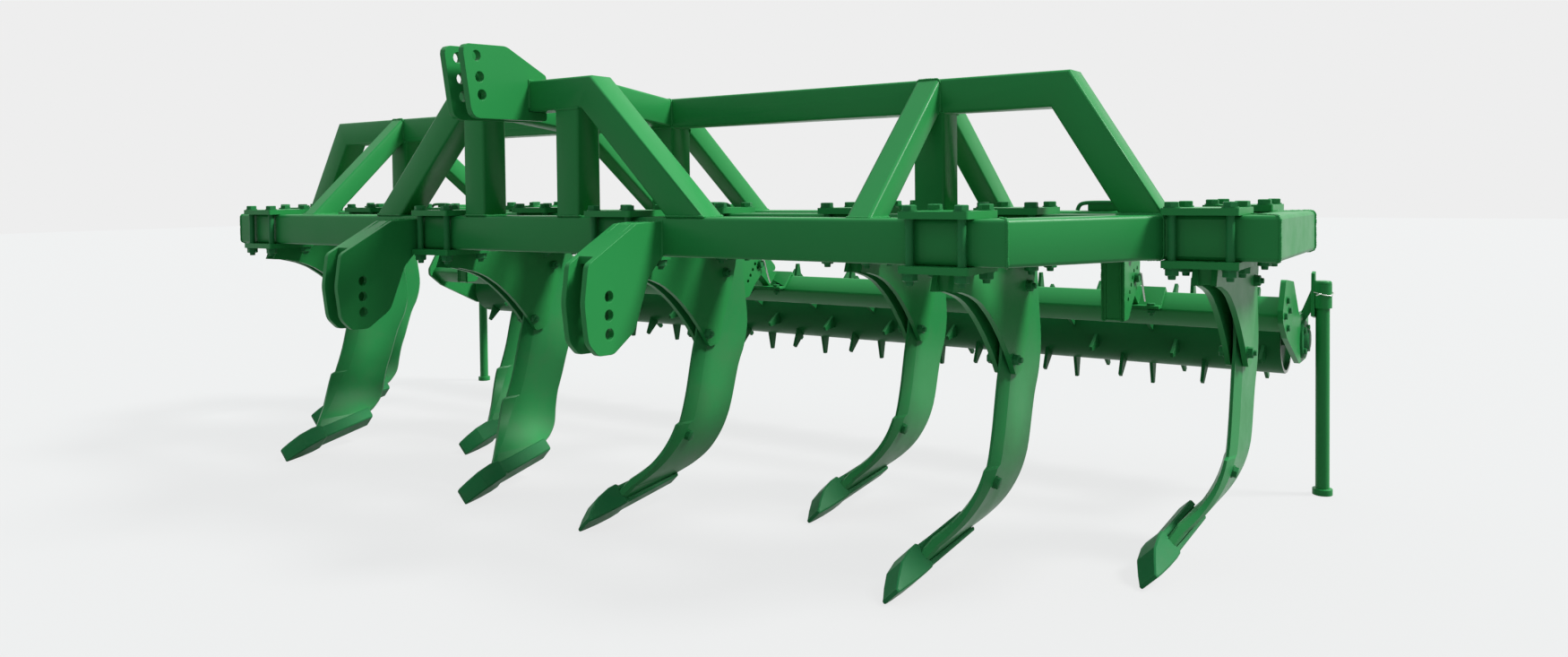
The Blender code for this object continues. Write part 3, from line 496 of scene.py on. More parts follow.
# %% The rule of the bend
BEND_START, BEND_R, BEND = 0.567, 0.235, radians(46)
LEG_FLAT, FOOT_LEAD, SHARE_HEEL, SHARE_RISE, SHARE_LEAN = 0.010, 0.086, 0.345, radians(9.5), 0.5
LEG_CHAMFER, LEG_EDGE, LEG_BACK_CHAMFER = 0.044, 0.007, 0.009
FOOT_HEEL, FOOT_CHAMFER, FOOT_SINK = 0.318, 0.012, 0.012
BLADE_END = BEND_START + BEND_R * BEND + LEG_FLAT
SHIN_TOP = 0.592
# distance below the beams' top along the blade, leading edge, trailing edge
LEG_EDGES = ((0.1168, 0.340, 0.545), (0.240, 0.337, 0.562), (0.330, 0.334, 0.572), (0.400, 0.314, 0.556),
             (0.450, 0.301, 0.528), (0.500, 0.288, 0.509), (0.550, 0.271, 0.492),
             (0.586, 0.256, 0.477), (0.592, 0.240, 0.474), (0.652, 0.212, 0.448),
             (0.707, 0.180, 0.418), (0.745, 0.150, 0.376), (0.766, 0.132, 0.338))


def blade_point(fore, along, out):
    """Point of a right-hand blade: fore and aft place, distance along it, offset from its middle plane."""
    angle = min(max((along - BEND_START) / BEND_R, 0), BEND)
    flat_part = max(along - BEND_START - BEND_R * BEND, 0)
    arc = min(along, BEND_START)
    side = BEND_R * (1 - cos(angle)) + flat_part * sin(angle)
    drop = arc + BEND_R * sin(angle) + flat_part * cos(angle)
    return Vector((-side + out * cos(angle), fore, -drop - out * sin(angle)))


def foot_point(fore, out, down):
    """Point along the blade's foot, where the share lies: it falls towards the front."""
    fall = (SHARE_HEEL - fore) * tan(SHARE_RISE)
    edge = blade_point(fore, BLADE_END, 0) + Vector((-SHARE_LEAN * fall * tan(BEND), 0, -fall))
    return edge + Vector((cos(BEND), 0, -sin(BEND))) * out + Vector((-sin(BEND), 0, -cos(BEND))) * down


def between(rows, value):
    """Smooth value of a table's columns at a distance, by a spline through its rows."""
    k = max(i for i in range(len(rows) - 1) if rows[i][0] <= value or i == 0)
    span = rows[k + 1][0] - rows[k][0]
    t = min(max((value - rows[k][0]) / span, 0), 1)
    result = []
    for column in (1, 2):
        a, b = rows[k][column], rows[k + 1][column]
        before = rows[max(k - 1, 0)]
        after = rows[min(k + 2, len(rows) - 1)]
        slope_a = (b - before[column]) / (rows[k + 1][0] - before[0]) * span
        slope_b = (after[column] - a) / (after[0] - rows[k][0]) * span
        result.append(a + (b - a) * t * t * (3 - 2 * t)
                      + slope_a * (t ** 3 - 2 * t * t + t) + slope_b * (t ** 3 - t * t))
    return result


print("the blade ends", round(BLADE_END, 4), "m below the beams, measured along it")

# %% [markdown]
# The upper blade and the shin are lofted as one closed skin. A wear plate covers the shin's front
# edge on the real leg, which is the small step in the outline, so the two parts use their own rows.

# %% Blade of a leg
def blade_section(place, lead, trail, half, edge, blunt):
    """Eight points round the blade: a chamfered front edge, blunter towards the foot, and a back edge."""
    chamfer = LEG_CHAMFER + (FOOT_CHAMFER - LEG_CHAMFER) * blunt
    edge = edge + (half * 0.6 - edge) * blunt
    return [place(lead, -edge), place(lead + chamfer, -half), place(trail - LEG_BACK_CHAMFER, -half),
            place(trail, -half / 2), place(trail, half / 2), place(trail - LEG_BACK_CHAMFER, half),
            place(lead + chamfer, half), place(lead, edge)]


def skin(rings):
    """Closed solid through rings of points."""
    shape = bmesh.new()
    rows = [[shape.verts.new(point) for point in points] for points in rings]
    count = len(rows[0])
    for lower, upper in zip(rows, rows[1:]):
        for k in range(count):
            shape.faces.new((lower[k], lower[(k + 1) % count], upper[(k + 1) % count], upper[k]))
    shape.faces.new(rows[0])
    shape.faces.new(rows[-1])
    bmesh.ops.recalc_face_normals(shape, faces=shape.faces[:])
    return shape


def blade_rings(grow=0.0):
    """Rings of the blade from its head to its foot, made thicker all round by grow."""
    half, edge = LEG_THICK / 2 + grow, LEG_EDGE / 2 + grow
    upper = [row for row in LEG_EDGES if row[0] < SHIN_TOP]
    lower = [row for row in LEG_EDGES if row[0] >= SHIN_TOP]
    rings = []
    for rows, steps in ((upper, 22), (lower, 20)):
        for k in range(steps + 1):
            along = rows[0][0] + (rows[-1][0] - rows[0][0]) * k / steps
            lead, trail = between(rows, along)
            blunt = max(along - SHIN_TOP, 0) / (BLADE_END - SHIN_TOP)
            rings.append(blade_section(lambda fore, out: blade_point(fore, along, out),
                                       lead - grow, trail + grow, half, edge, blunt))
    rings.append(blade_section(lambda fore, out: foot_point(fore, out, FOOT_SINK + grow), FOOT_LEAD - grow,
                               FOOT_HEEL + grow, half, edge, 1.0))
    return rings


blade = to_mesh(skin(blade_rings()), "blade")
print("blade of", len(blade.polygons), "faces")

# %% [markdown]
# The share is a forged shoe: a bar under the blade's foot, and in front of it a wide chisel that
# thins to a blunt edge. The seat for the blade is cut with a slightly thicker copy of the blade
# itself, which leaves the thin dark line that shows round the shin.

# %% Share
SEAT_ROOM = 0.0018
# distance ahead of the heel, upper edge (up the blade is negative), lower edge, outer face, inner face
SHARE_ROWS = (
    (0.020, 0.000, 0.030, 0.018, 0.028),
    (0.026, -0.006, 0.037, 0.022, 0.033),
    (0.180, -0.006, 0.038, 0.022, 0.033),
    (0.222, -0.007, 0.038, 0.022, 0.034),
    (0.234, -0.014, 0.043, 0.024, 0.039),
    (0.262, -0.016, 0.045, 0.025, 0.038),
    (0.306, -0.015, 0.045, 0.024, 0.028),
    (0.340, -0.012, 0.044, 0.022, 0.008),
    (0.362, -0.009, 0.043, 0.020, -0.008),
    (0.366, -0.007, 0.042, 0.019, -0.010),
)


def share_solid():
    """The share before its seat is cut: an eight-cornered section that changes along it."""
    rings = []
    for reach, top, low, out, inner in SHARE_ROWS:
        fore = SHARE_HEEL - reach * cos(SHARE_RISE)
        rim = min(0.0035, (out + inner) / 4)
        rings.append([foot_point(fore, out - rim, top), foot_point(fore, out, top + rim),
                      foot_point(fore, out, low - rim), foot_point(fore, out - rim, low),
                      foot_point(fore, rim - inner, low), foot_point(fore, -inner, low - rim),
                      foot_point(fore, -inner, top + rim), foot_point(fore, rim - inner, top)])
    return skin(rings)


def result_of(item):
    """Plain mesh of a helper object with its modifiers or its section applied; the helper goes."""
    depsgraph = bpy.context.evaluated_depsgraph_get()
    mesh = bpy.data.meshes.new_from_object(item.evaluated_get(depsgraph))
    bpy.data.objects.remove(item)
    return mesh


def carve(base, tool):
    """Cut one mesh by another."""
    block, cutter = put("block", base), put("cutter", tool)
    modifier = block.modifiers.new("seat", "BOOLEAN")
    modifier.operation = "DIFFERENCE"
    modifier.solver = "EXACT"
    modifier.object = cutter
    mesh = result_of(block)
    bpy.data.objects.remove(cutter)
    return mesh


share = carve(to_mesh(share_solid(), "share"), to_mesh(skin(blade_rings(SEAT_ROOM)), "seat"))
print("share of", len(share.polygons), "faces")

# %% [markdown]
# The eight legs are the same forging, handed left and right so that all of them bend inwards.
# A copy of each mesh is moved to its place, and the left-hand ones are mirrored and turned outside out.

# %% Eight legs and shares
def moved(mesh, sign, x, front):
    """Copy of a right-hand mesh at a leg's place."""
    shape = bmesh.new()
    shape.from_mesh(mesh)
    for vert in shape.verts:
        vert.co = at(x, front, 0) + Vector((sign * vert.co.x, vert.co.y, vert.co.z))
    if sign < 0:
        bmesh.ops.reverse_faces(shape, faces=shape.faces[:])
    return to_mesh(shape, mesh.name)


for name, distance, row in LEGS:
    for side, sign in SIDES:
        x, front = sign * distance, row * BEAM_PITCH
        # the low angle keeps the facet along the blade's front edge crisp
        leg = show(f"blade_{name}_{side}", moved(blade, sign, x, front), "main_frame", SHIN_ENAMEL,
                   smooth=8)
        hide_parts(f"leg_{name}_{side}")
        shoe = show(f"shoe_{name}_{side}", moved(share, sign, x, front), "main_frame", SHARE_ENAMEL,
                    smooth=16)
        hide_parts(f"share_{name}_{side}")
print("placed", 2 * len(LEGS), "legs and shares")

# %% [markdown]
# The drum is a rolled tube with a plate let into each end. Turning a profile round its axis gives
# the tube's rim, the sunk plate and the shaft in one closed skin.

# %% Roller drum
drum_low, drum_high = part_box("roller_drum")
SPIKE, DRUM_HALF, DRUM_R = 0.064, 1.748, 0.105
AXIS = (drum_low + drum_high) / 2
SHAFT_R, SHAFT_END, ROUNDING = 0.022, drum_high.x - DRUM_HALF, 0.002
END_SUNK, DRUM_WALL, RIM_LOW = 0.012, 0.010, 0.007
half_profile = [(DRUM_HALF + SHAFT_END, 0), (DRUM_HALF + SHAFT_END, SHAFT_R - ROUNDING),
                (DRUM_HALF + SHAFT_END - ROUNDING, SHAFT_R), (DRUM_HALF - END_SUNK, SHAFT_R),
                (DRUM_HALF - END_SUNK, DRUM_R - DRUM_WALL), (DRUM_HALF - 0.001, DRUM_R - 0.009),
                (DRUM_HALF, DRUM_R - RIM_LOW), (DRUM_HALF, DRUM_R - ROUNDING),
                (DRUM_HALF - ROUNDING, DRUM_R), (0, DRUM_R)]
profile = half_profile + [(-distance, radius) for distance, radius in reversed(half_profile[:-1])]
tube = turned(profile, AXIS, (1, 0, 0), 72)
drum = show("drum_tube", to_mesh(tube, "drum"), "roller", DRUM_ENAMEL_WITH_PAINTED_SHADE)
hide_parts("roller_drum")
print("drum radius", round(DRUM_R, 4), "on an axis at", [round(value, 3) for value in AXIS])

# %% [markdown]
# Spikes, bolts and weld beads repeat, so Geometry Nodes make them. Each tree has named inputs for its
# sizes. It ends by making its instances real and giving them their material, because the export drops
# instances. The grown result becomes a plain mesh before it rides on a body.

# %% Trees that grow pieces
def new_tree(name, sockets):
    """Empty Geometry Nodes tree with named inputs."""
    tree = bpy.data.node_groups.new(name, "GeometryNodeTree")
    tree.interface.new_socket("Geometry", in_out="INPUT", socket_type="NodeSocketGeometry")
    for label, kind, value in sockets:
        socket = tree.interface.new_socket(label, in_out="INPUT", socket_type="NodeSocket" + kind)
        if value is not None:
            socket.default_value = value
    tree.interface.new_socket("Geometry", in_out="OUTPUT", socket_type="NodeSocketGeometry")
    return tree, tree.nodes.new("NodeGroupInput").outputs, tree.nodes.new("NodeGroupOutput").inputs


def sums(tree, operation, a, b=0.0):
    """One step of arithmetic."""
    return wire_up(tree, "ShaderNodeMath", {0: a, 1: b}, operation=operation).outputs[0]


def finish_tree(tree, instances, source, end):
    """Make instances real and give them their material, so that they survive the export."""
    real = wire_up(tree, "GeometryNodeRealizeInstances", {"Geometry": instances}).outputs[0]
    painted = wire_up(tree, "GeometryNodeSetMaterial", {"Geometry": real, "Material": source["Material"]})
    tree.links.new(painted.outputs[0], end["Geometry"])


def grown(mesh, tree, **values):
    """Run a tree on a mesh and return plain mesh data."""
    host = put("host", mesh)
    modifier = host.modifiers.new("nodes", "NODES")
    modifier.node_group = tree
    for item in tree.interface.items_tree:
        key = item.name.replace(" ", "_").lower()
        if item.in_out == "INPUT" and key in values:
            modifier[item.identifier] = values[key]
    return result_of(host)


print("trees can be built and grown")

# %% [markdown]
# A hundred and forty spikes in ten rows are the same small piece over and over, set by a rule. A line
# of points carries a number each. From that number come the row, the turn round the drum and the place
# along it, and a flat tapered spike is put on every point.

# %% Node tree for the spikes
SQUARE = 2 ** 0.5            # side of a square over half its diagonal
tree, source, end = new_tree("spike rows", (
    ("Rows", "Int", 10), ("Per Row", "Int", 14), ("Step Round", "Int", 3), ("First", "Float", 0.0),
    ("Pitch", "Float", 0.2), ("Radius", "Float", 0.1), ("Height", "Float", 0.05), ("Root", "Float", 0.046),
    ("Tip", "Float", 0.014), ("Thickness", "Float", 0.010), ("Material", "Material", None)))
count = sums(tree, "MULTIPLY", source["Rows"], source["Per Row"])
number = wire_up(tree, "GeometryNodeInputIndex").outputs[0]
row = sums(tree, "FLOOR", sums(tree, "DIVIDE", sums(tree, "ADD", number, 0.5), source["Per Row"]))
place = sums(tree, "SUBTRACT", number, sums(tree, "MULTIPLY", row, source["Per Row"]))
steps = sums(tree, "MODULO", sums(tree, "MULTIPLY", row, source["Step Round"]), source["Rows"])
stagger = sums(tree, "DIVIDE", steps, source["Rows"])
shift = sums(tree, "MULTIPLY", sums(tree, "ADD", place, stagger), source["Pitch"])
along = sums(tree, "ADD", source["First"], shift)
angle = sums(tree, "DIVIDE", sums(tree, "MULTIPLY", row, 2 * pi), source["Rows"])
y = sums(tree, "MULTIPLY", sums(tree, "MULTIPLY", sums(tree, "SINE", angle), source["Radius"]), -1.0)
z = sums(tree, "MULTIPLY", sums(tree, "COSINE", angle), source["Radius"])
spot = wire_up(tree, "ShaderNodeCombineXYZ", {"X": along, "Y": y, "Z": z}).outputs[0]
points = wire_up(tree, "GeometryNodePoints", {"Count": count, "Position": spot}).outputs[0]
root, tip = sums(tree, "DIVIDE", source["Root"], SQUARE), sums(tree, "DIVIDE", source["Tip"], SQUARE)
cone = wire_up(tree, "GeometryNodeMeshCone", {"Vertices": 4, "Radius Bottom": root, "Radius Top": tip,
                                              "Depth": source["Height"]}).outputs["Mesh"]
spin = wire_up(tree, "GeometryNodeTransform", {"Geometry": cone, "Rotation": (0, 0, pi / 4)}).outputs[0]
corner = wire_up(tree, "GeometryNodeInputPosition").outputs[0]
parts = wire_up(tree, "ShaderNodeSeparateXYZ", {"Vector": corner}).outputs
thin = sums(tree, "MULTIPLY", sums(tree, "SIGN", parts["X"]), sums(tree, "DIVIDE", source["Thickness"], 2.0))
slim = wire_up(tree, "ShaderNodeCombineXYZ", {"X": thin, "Y": parts["Y"], "Z": parts["Z"]}).outputs[0]
spike = wire_up(tree, "GeometryNodeSetPosition", {"Geometry": spin, "Position": slim}).outputs[0]
turn = wire_up(tree, "ShaderNodeCombineXYZ", {"X": angle}).outputs[0]
spikes = wire_up(tree, "GeometryNodeInstanceOnPoints", {"Points": points, "Instance": spike,
                                                        "Rotation": turn}).outputs[0]
finish_tree(tree, spikes, source, end)
print("tree", tree.name, "with", len(tree.nodes), "nodes")

# %% [markdown]
# The rows start at one end of the drum and stop as far from the other. Each spike is let into the tube a
# little, so that no gap shows at its root.

# %% Spikes
SPIKE_MARGIN, SPIKE_SINK, ROWS, PER_ROW = 0.045, 0.004, 10, 14
spike_mesh = grown(bpy.data.meshes.new("seed"), tree, rows=ROWS, per_row=PER_ROW,
                   first=-DRUM_HALF + SPIKE_MARGIN,
                   pitch=2 * (DRUM_HALF - SPIKE_MARGIN) / (PER_ROW - 1 / ROWS),
                   radius=DRUM_R - SPIKE_SINK, height=SPIKE + SPIKE_SINK, material=DRUM_ENAMEL_WITH_PAINTED_SHADE)
spike_mesh.transform(Matrix.Translation(AXIS))
show("drum_spikes", spike_mesh, "roller", DRUM_ENAMEL_WITH_PAINTED_SHADE, edge=0.001)
print("spikes of", len(spike_mesh.polygons), "faces")

# %% [markdown]
# Bolts and nuts are the same part in a hundred places, each facing its own way. The places are
# single points that carry two values: the way they face and the size across the flats.

# %% Node tree for hexagon bolts and nuts
tree, source, end = new_tree("hexagons", (("Nut", "Bool", False), ("Material", "Material", None)))


def cylinder(radius, depth, low, sides, top=None):
    """Mesh of a cylinder or frustum that starts at a height."""
    mesh = wire_up(tree, "GeometryNodeMeshCone", {"Vertices": sides, "Radius Bottom": radius, "Depth": depth,
                                                  "Radius Top": top or radius}).outputs["Mesh"]
    return wire_up(tree, "GeometryNodeTransform", {"Geometry": mesh, "Translation": (0, 0, low)}).outputs[0]


def joined(*pieces):
    """Several meshes as one."""
    node = tree.nodes.new("GeometryNodeJoinGeometry")
    for part in reversed(pieces):
        tree.links.new(part, node.inputs[0])
    return node.outputs[0]


def carried(name, kind):
    """A value that the points carry."""
    node = wire_up(tree, "GeometryNodeInputNamedAttribute", {"Name": name}, data_type=kind)
    return next(socket for socket in node.outputs if socket.enabled and socket.name == "Attribute")


# all in parts of the size across the flats: a washer, a hexagon, its chamfer and a nut's bolt end
HEX_R, CHAMFER_R, WASHER_R, WASHER, THREAD_R = 0.577, 0.50, 0.62, 0.10, 0.31
head = joined(cylinder(WASHER_R, WASHER, 0.0, 18), cylinder(HEX_R, 0.33, WASHER, 6),
              cylinder(HEX_R, 0.05, 0.43, 6, CHAMFER_R))
nut = joined(cylinder(WASHER_R, WASHER, 0.0, 18), cylinder(HEX_R, 0.45, WASHER, 6),
             cylinder(HEX_R, 0.05, 0.55, 6, CHAMFER_R), cylinder(THREAD_R, 0.30, 0.60, 10, 0.28))
chosen = wire_up(tree, "GeometryNodeSwitch", {"Switch": source["Nut"], "False": head, "True": nut},
                 input_type="GEOMETRY").outputs[0]
facing, size = carried("facing", "FLOAT_VECTOR"), carried("size", "FLOAT")
chance = wire_up(tree, "FunctionNodeRandomValue", {"Min": 0.0, "Max": 1.05, "Seed": 4}, data_type="FLOAT")
spun = wire_up(tree, "ShaderNodeCombineXYZ", {"Z": chance.outputs["Value"]}).outputs[0]
lined_up = wire_up(tree, "FunctionNodeAlignRotationToVector", {"Vector": facing}, axis="Z").outputs[0]
tilt = wire_up(tree, "FunctionNodeRotateRotation", {"Rotation": lined_up, "Rotate By": spun},
               rotation_space="LOCAL").outputs[0]
set_out = wire_up(tree, "GeometryNodeInstanceOnPoints", {"Points": source["Geometry"], "Instance": chosen,
                                                         "Rotation": tilt, "Scale": size}).outputs[0]
finish_tree(tree, set_out, source, end)
hexagons = tree
print("tree", tree.name, "with", len(tree.nodes), "nodes")


def bolt_field(name, rows, body, nut=False):
    """Bolts or nuts at (point, facing, size across flats) rows, as one mesh on one body."""
    mesh = bpy.data.meshes.new(name)
    mesh.from_pydata([row[0] for row in rows], [], [])
    mesh.attributes.new("facing", "FLOAT_VECTOR", "POINT")
    mesh.attributes.new("size", "FLOAT", "POINT")
    for k, (_, way, flats) in enumerate(rows):
        mesh.attributes["facing"].data[k].vector = Vector(way).normalized()
        mesh.attributes["size"].data[k].value = flats
    show(name, grown(mesh, hexagons, nut=nut, material=BOLT_ENAMEL), body, BOLT_ENAMEL)
    print(name, len(rows))

# %% [markdown]
# Every clamp has four bolts with their heads on top and nuts below. The cheeks carry the leg's
# pivot bolt and the shear bolt that breaks when the leg meets a rock, each with a nut on one side.

# %% Bolts of the holders
BOLT, SMALL_BOLT, WEAR_BOLT = 0.029, 0.024, 0.025        # sizes across the flats
LEG_BOLTS = ((0.350, -0.345), (0.440, -0.175))           # behind the beam's front face, above the beams
WEAR_FORE, WEAR_ALONG = 0.284, 0.624                     # the wear plate's bolt, on the blade
heads, nuts = [], []
for name, distance, row in LEGS:
    for sign in (-1, 1):
        x, front = sign * distance, row * BEAM_PITCH
        for beam in (front, front + BEAM_PITCH):
            for dx in (-CLAMP_BOLT_X, CLAMP_BOLT_X):
                for y in (beam - BOLT_OUT, beam + BEAM + BOLT_OUT):
                    heads.append((at(x + dx, y, SEAT + CLAMP_PLATE), (0, 0, 1), BOLT))
                    nuts.append((at(x + dx, y, CHEEK_TOP), (0, 0, -1), BOLT))
        face = LEG_THICK / 2 + SEAT + CHEEK
        for y, z in LEG_BOLTS:
            heads.append((at(x - face, front + y, z), (-1, 0, 0), SMALL_BOLT))
            nuts.append((at(x + face, front + y, z), (1, 0, 0), SMALL_BOLT))
        wear = blade_point(WEAR_FORE, WEAR_ALONG, LEG_THICK / 2)
        slope = (WEAR_ALONG - BEND_START) / BEND_R
        spot = at(x, front, 0) + Vector((sign * wear.x, wear.y, wear.z))
        heads.append((spot, (sign * cos(slope), 0, -sin(slope)), WEAR_BOLT))
bolt_field("frame_bolt_heads", heads, "main_frame")
bolt_field("frame_nuts", nuts, "main_frame", nut=True)

# %% [markdown]
# A weld bead is a row of overlapping ripples along a seam. It is made as a curve with a round
# section whose radius swells and shrinks along its length, with noise so that no two ripples match.

# %% Node tree for weld beads
tree, source, end = new_tree("weld bead", (
    ("Radius", "Float", 0.003), ("Ripple", "Float", 0.0062), ("Material", "Material", None)))
path = wire_up(tree, "GeometryNodeMeshToCurve", {"Mesh": source["Geometry"]}).outputs[0]
path = wire_up(tree, "GeometryNodeResampleCurve", {"Curve": path, "Length": 0.0026}, mode="LENGTH").outputs[0]
length = wire_up(tree, "GeometryNodeSplineParameter").outputs["Length"]
wave = sums(tree, "SINE", sums(tree, "DIVIDE", sums(tree, "MULTIPLY", length, 2 * pi), source["Ripple"]))
rough = wire_up(tree, "ShaderNodeTexNoise", {"Scale": 95.0, "Detail": 1.0}).outputs["Fac"]
swell = sums(tree, "ADD", sums(tree, "MULTIPLY", wave, 0.16), sums(tree, "MULTIPLY", rough, 0.9))
radius = sums(tree, "MULTIPLY", source["Radius"], sums(tree, "ADD", swell, 0.5))
section = wire_up(tree, "GeometryNodeCurvePrimitiveCircle", {"Resolution": 7, "Radius": 1.0}).outputs["Curve"]
bead = wire_up(tree, "GeometryNodeCurveToMesh", {"Curve": path, "Profile Curve": section, "Fill Caps": True,
                                                 "Scale": radius}).outputs[0]
finish_tree(tree, bead, source, end)
beads = tree
print("tree", tree.name, "with", len(tree.nodes), "nodes")

# %% [markdown]
# The seams need not be typed in. The rim of a tube's end is the loop round those of its faces that look
# one way and lie furthest that way, and a bead can run along it.

# %% Finding the seams
def rims(node, way, reach=0.002):
    """Loops of points round the faces that look in a direction, at the node's furthest place that way."""
    way = Vector(way).normalized()
    shape = merged(node)
    faces = [face for face in shape.faces if face.normal.dot(way) > 0.75]
    furthest = max(face.calc_center_median().dot(way) for face in faces)
    loops = [[vert.co.copy() for vert in face.verts] for face in faces
             if face.calc_center_median().dot(way) > furthest - reach]
    shape.free()
    return loops


print("seam loops at the mast's feet:", len(rims("mast", (0, 0, -1))))


def bead_mesh(name, loops, lines, body, radius):
    """Weld beads round closed loops and along open lines, as one mesh on one body."""
    points, edges = [], []
    for path, closed in [(loop, True) for loop in loops] + [(line, False) for line in lines]:
        first = len(points)
        points += path
        edges += [(first + k, first + k + 1) for k in range(len(path) - 1)]
        if closed:
            edges.append((first + len(path) - 1, first))
    mesh = bpy.data.meshes.new(name)
    mesh.from_pydata(points, edges, [])
    mesh = grown(mesh, beads, radius=radius, material=ENAMEL)
    show(name, mesh, body, ENAMEL, smooth=80)
    print(name, len(loops), "loops,", len(lines), "lines,", len(mesh.polygons), "faces")

# %% [markdown]
# Tubes are welded all round where they end, so their rims give closed beads. The hitch plates and the
# cheeks are welded along stretches of an edge, which are given as open lines.

# %% Weld beads of the frame
MAST_TOP, TRUSS_TOP = 0.375, 0.340              # above the beams
MAST_POST, TRUSS_POST = 0.232, 1.118            # outer faces of the posts, from the centre
FORK_X, FORK_FACE = 0.484, 0.0225               # a link fork's middle, and its plates from there
TOP_LINK_X, TOP_LINK_FACE = 0.037, 0.0102
CHEEK_WELDS = ((0.034, 0.125), (0.365, 0.485))  # stretches where a cheek is welded to the clamp
BEAD = 0.0032
# each seam is a node and the way that its welded end looks
SEAMS = [("mast", (0, 0, -1)), ("truss", (0, 0, -1))]
for side, sign in SIDES:
    SEAMS += [(f"side_tube_{side}", (0, 1, 0)), (f"side_tube_{side}", (-0.86 * sign, -0.51, 0)),
              (f"rear_side_tube_{side}", (-0.78 * sign, 0.62, 0)),
              (f"rear_side_tube_{side}", (-0.78 * sign, -0.62, 0)),
              (f"front_brace_{side}", (0, 0, -1)), (f"front_brace_{side}", (0, 1, 0)),
              (f"strut_{side}", (0, 1, 0)), (f"strut_{side}", (0, -1, 0)),
              (f"lower_link_fork_{side}", (0, 1, 0))]
    SEAMS += [(f"rear_brace_{place}_{side}", way)
              for place in ("inner", "outer") for way in ((0, 0, -1), (0, -1, 0))]
SEAMS += [(f"roller_bracket_{place}", (0, -1, 0)) for place in PLACES]
loops = [loop for node, way in SEAMS for loop in rims(node, way)]
lines = []
for top, front, posts in ((MAST_TOP, 0, [MAST_POST]), (TRUSS_TOP, BEAM_PITCH, [MAST_POST, TRUSS_POST])):
    for sign in (-1, 1):
        for post in posts:
            outer, inner = sign * post, sign * (post - TUBE)
            loops.append([at(x, front + depth, top - TUBE)
                          for x, depth in ((outer, 0), (outer, TUBE), (inner, TUBE), (inner, 0))])
for sign in (-1, 1):
    for plate in (-1, 1):
        x = sign * FORK_X + plate * FORK_FACE
        lines.append([at(x, -0.004, -0.012), at(x, -0.095, -0.015), at(x, -0.215, -0.085)])
        x = sign * TOP_LINK_X + plate * TOP_LINK_FACE
        lines.append([at(x, 0.000, 0.300), at(x, -0.0005, MAST_TOP + 0.0005),
                      at(x, 0.060, MAST_TOP + 0.0005)])
for name, distance, row in LEGS:
    for sign in (-1, 1):
        for face in (-1, 1):
            x = sign * distance + face * (LEG_THICK / 2 + SEAT + CHEEK)
            front = row * BEAM_PITCH
            for start, stop in CHEEK_WELDS:
                lines.append([at(x, front + start, CHEEK_TOP), at(x, front + stop, CHEEK_TOP)])
bead_mesh("frame_weld_beads", loops, lines, "main_frame", BEAD)

# %% [markdown]
# The roller's frame has its own fasteners. Each arm ends in a saddle bolted over the carrier tube,
# and each end plate holds a flanged bearing. They ride on the roller's frame, so they swing with it.

# %% Roller fasteners and bearings
ARMS = [middle_x(f"roller_arm_{place}") for place in PLACES]
CARRIER_BACK, CARRIER_DROP = 1.120, 0.290
SHAFT_BACK, SHAFT_DROP = AXIS.y - FRONT_Y, BEAM_TOP - AXIS.z
SADDLE_DROP, FLANGE, SADDLE_X, SADDLE_Y = 0.0374, 0.008, 0.056, 0.064
FLANGE_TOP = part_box("carrier_tube")[1].z - BEAM_TOP - SADDLE_DROP
DRUM_GAP, END_PLATE = 0.030, 0.014
END_FACE = DRUM_HALF + DRUM_GAP + END_PLATE
BEARING_R, BEARING_BOLTS_R, BEARING_RIM = 0.056, 0.044, 0.007
BEARING_PROFILE = ((0, 0), (0, BEARING_R), (0.006, BEARING_R), (0.0075, 0.054), (0.0075, 0.034),
                   (0.016, 0.031), (0.019, 0.027), (0.019, 0))
SADDLE_BOLT, SADDLE_NUT, END_BOLT = 0.021, 0.019, 0.016
END_BOLTS = ((-0.036, 0.0), (0.0, -0.036), (0.030, 0.010), (0.0, 0.040))    # round the carrier tube's end
heads, nuts = [], []
for x in ARMS:
    for dx in (-SADDLE_X, SADDLE_X):
        for dy in (-SADDLE_Y, SADDLE_Y):
            heads.append((at(x + dx, CARRIER_BACK + dy, FLANGE_TOP), (0, 0, 1), SADDLE_BOLT))
            nuts.append((at(x + dx, CARRIER_BACK + dy, FLANGE_TOP - FLANGE), (0, 0, -1), SADDLE_NUT))
for side, sign in SIDES:
    for k in range(4):
        turn = pi / 4 + k * pi / 2
        spot = at(sign * (END_FACE + BEARING_RIM), SHAFT_BACK + BEARING_BOLTS_R * cos(turn),
                  -SHAFT_DROP + BEARING_BOLTS_R * sin(turn))
        heads.append((spot, (sign, 0, 0), END_BOLT))
    for dy, dz in END_BOLTS:
        spot = at(sign * END_FACE, CARRIER_BACK + dy, -CARRIER_DROP + dz)
        heads.append((spot, (sign, 0, 0), END_BOLT))
    bearing = turned(BEARING_PROFILE, at(sign * END_FACE, SHAFT_BACK, -SHAFT_DROP), (sign, 0, 0), 40)
    show(f"bearing_{side}", to_mesh(bearing, "bearing"), "roller_frame", BOLT_ENAMEL)
bolt_field("roller_bolts", heads, "roller_frame")
bolt_field("roller_nuts", nuts, "roller_frame", nut=True)

# %% [markdown]
# Soil rubs the rims of the drum bright. A ring a fraction of a millimetre proud of each end carries
# the bare steel, so that the paint's edge stays sharp.

# %% Worn rings at the drum's ends
RING_PROUD = 0.0006
ring_profile = ((0, DRUM_R - 0.0095), (RING_PROUD, DRUM_R - 0.0092), (RING_PROUD, DRUM_R - 0.0015),
                (0, DRUM_R - 0.0012), (0, DRUM_R - 0.0095))
for side, sign in SIDES:
    ring = turned(ring_profile, AXIS + Vector((sign * DRUM_HALF, 0, 0)), (sign, 0, 0), 72)
    bmesh.ops.remove_doubles(ring, verts=ring.verts[:], dist=1e-7)
    show(f"worn_ring_{side}", to_mesh(ring, "ring"), "roller", WORN_STEEL)
print("worn rings on both ends")

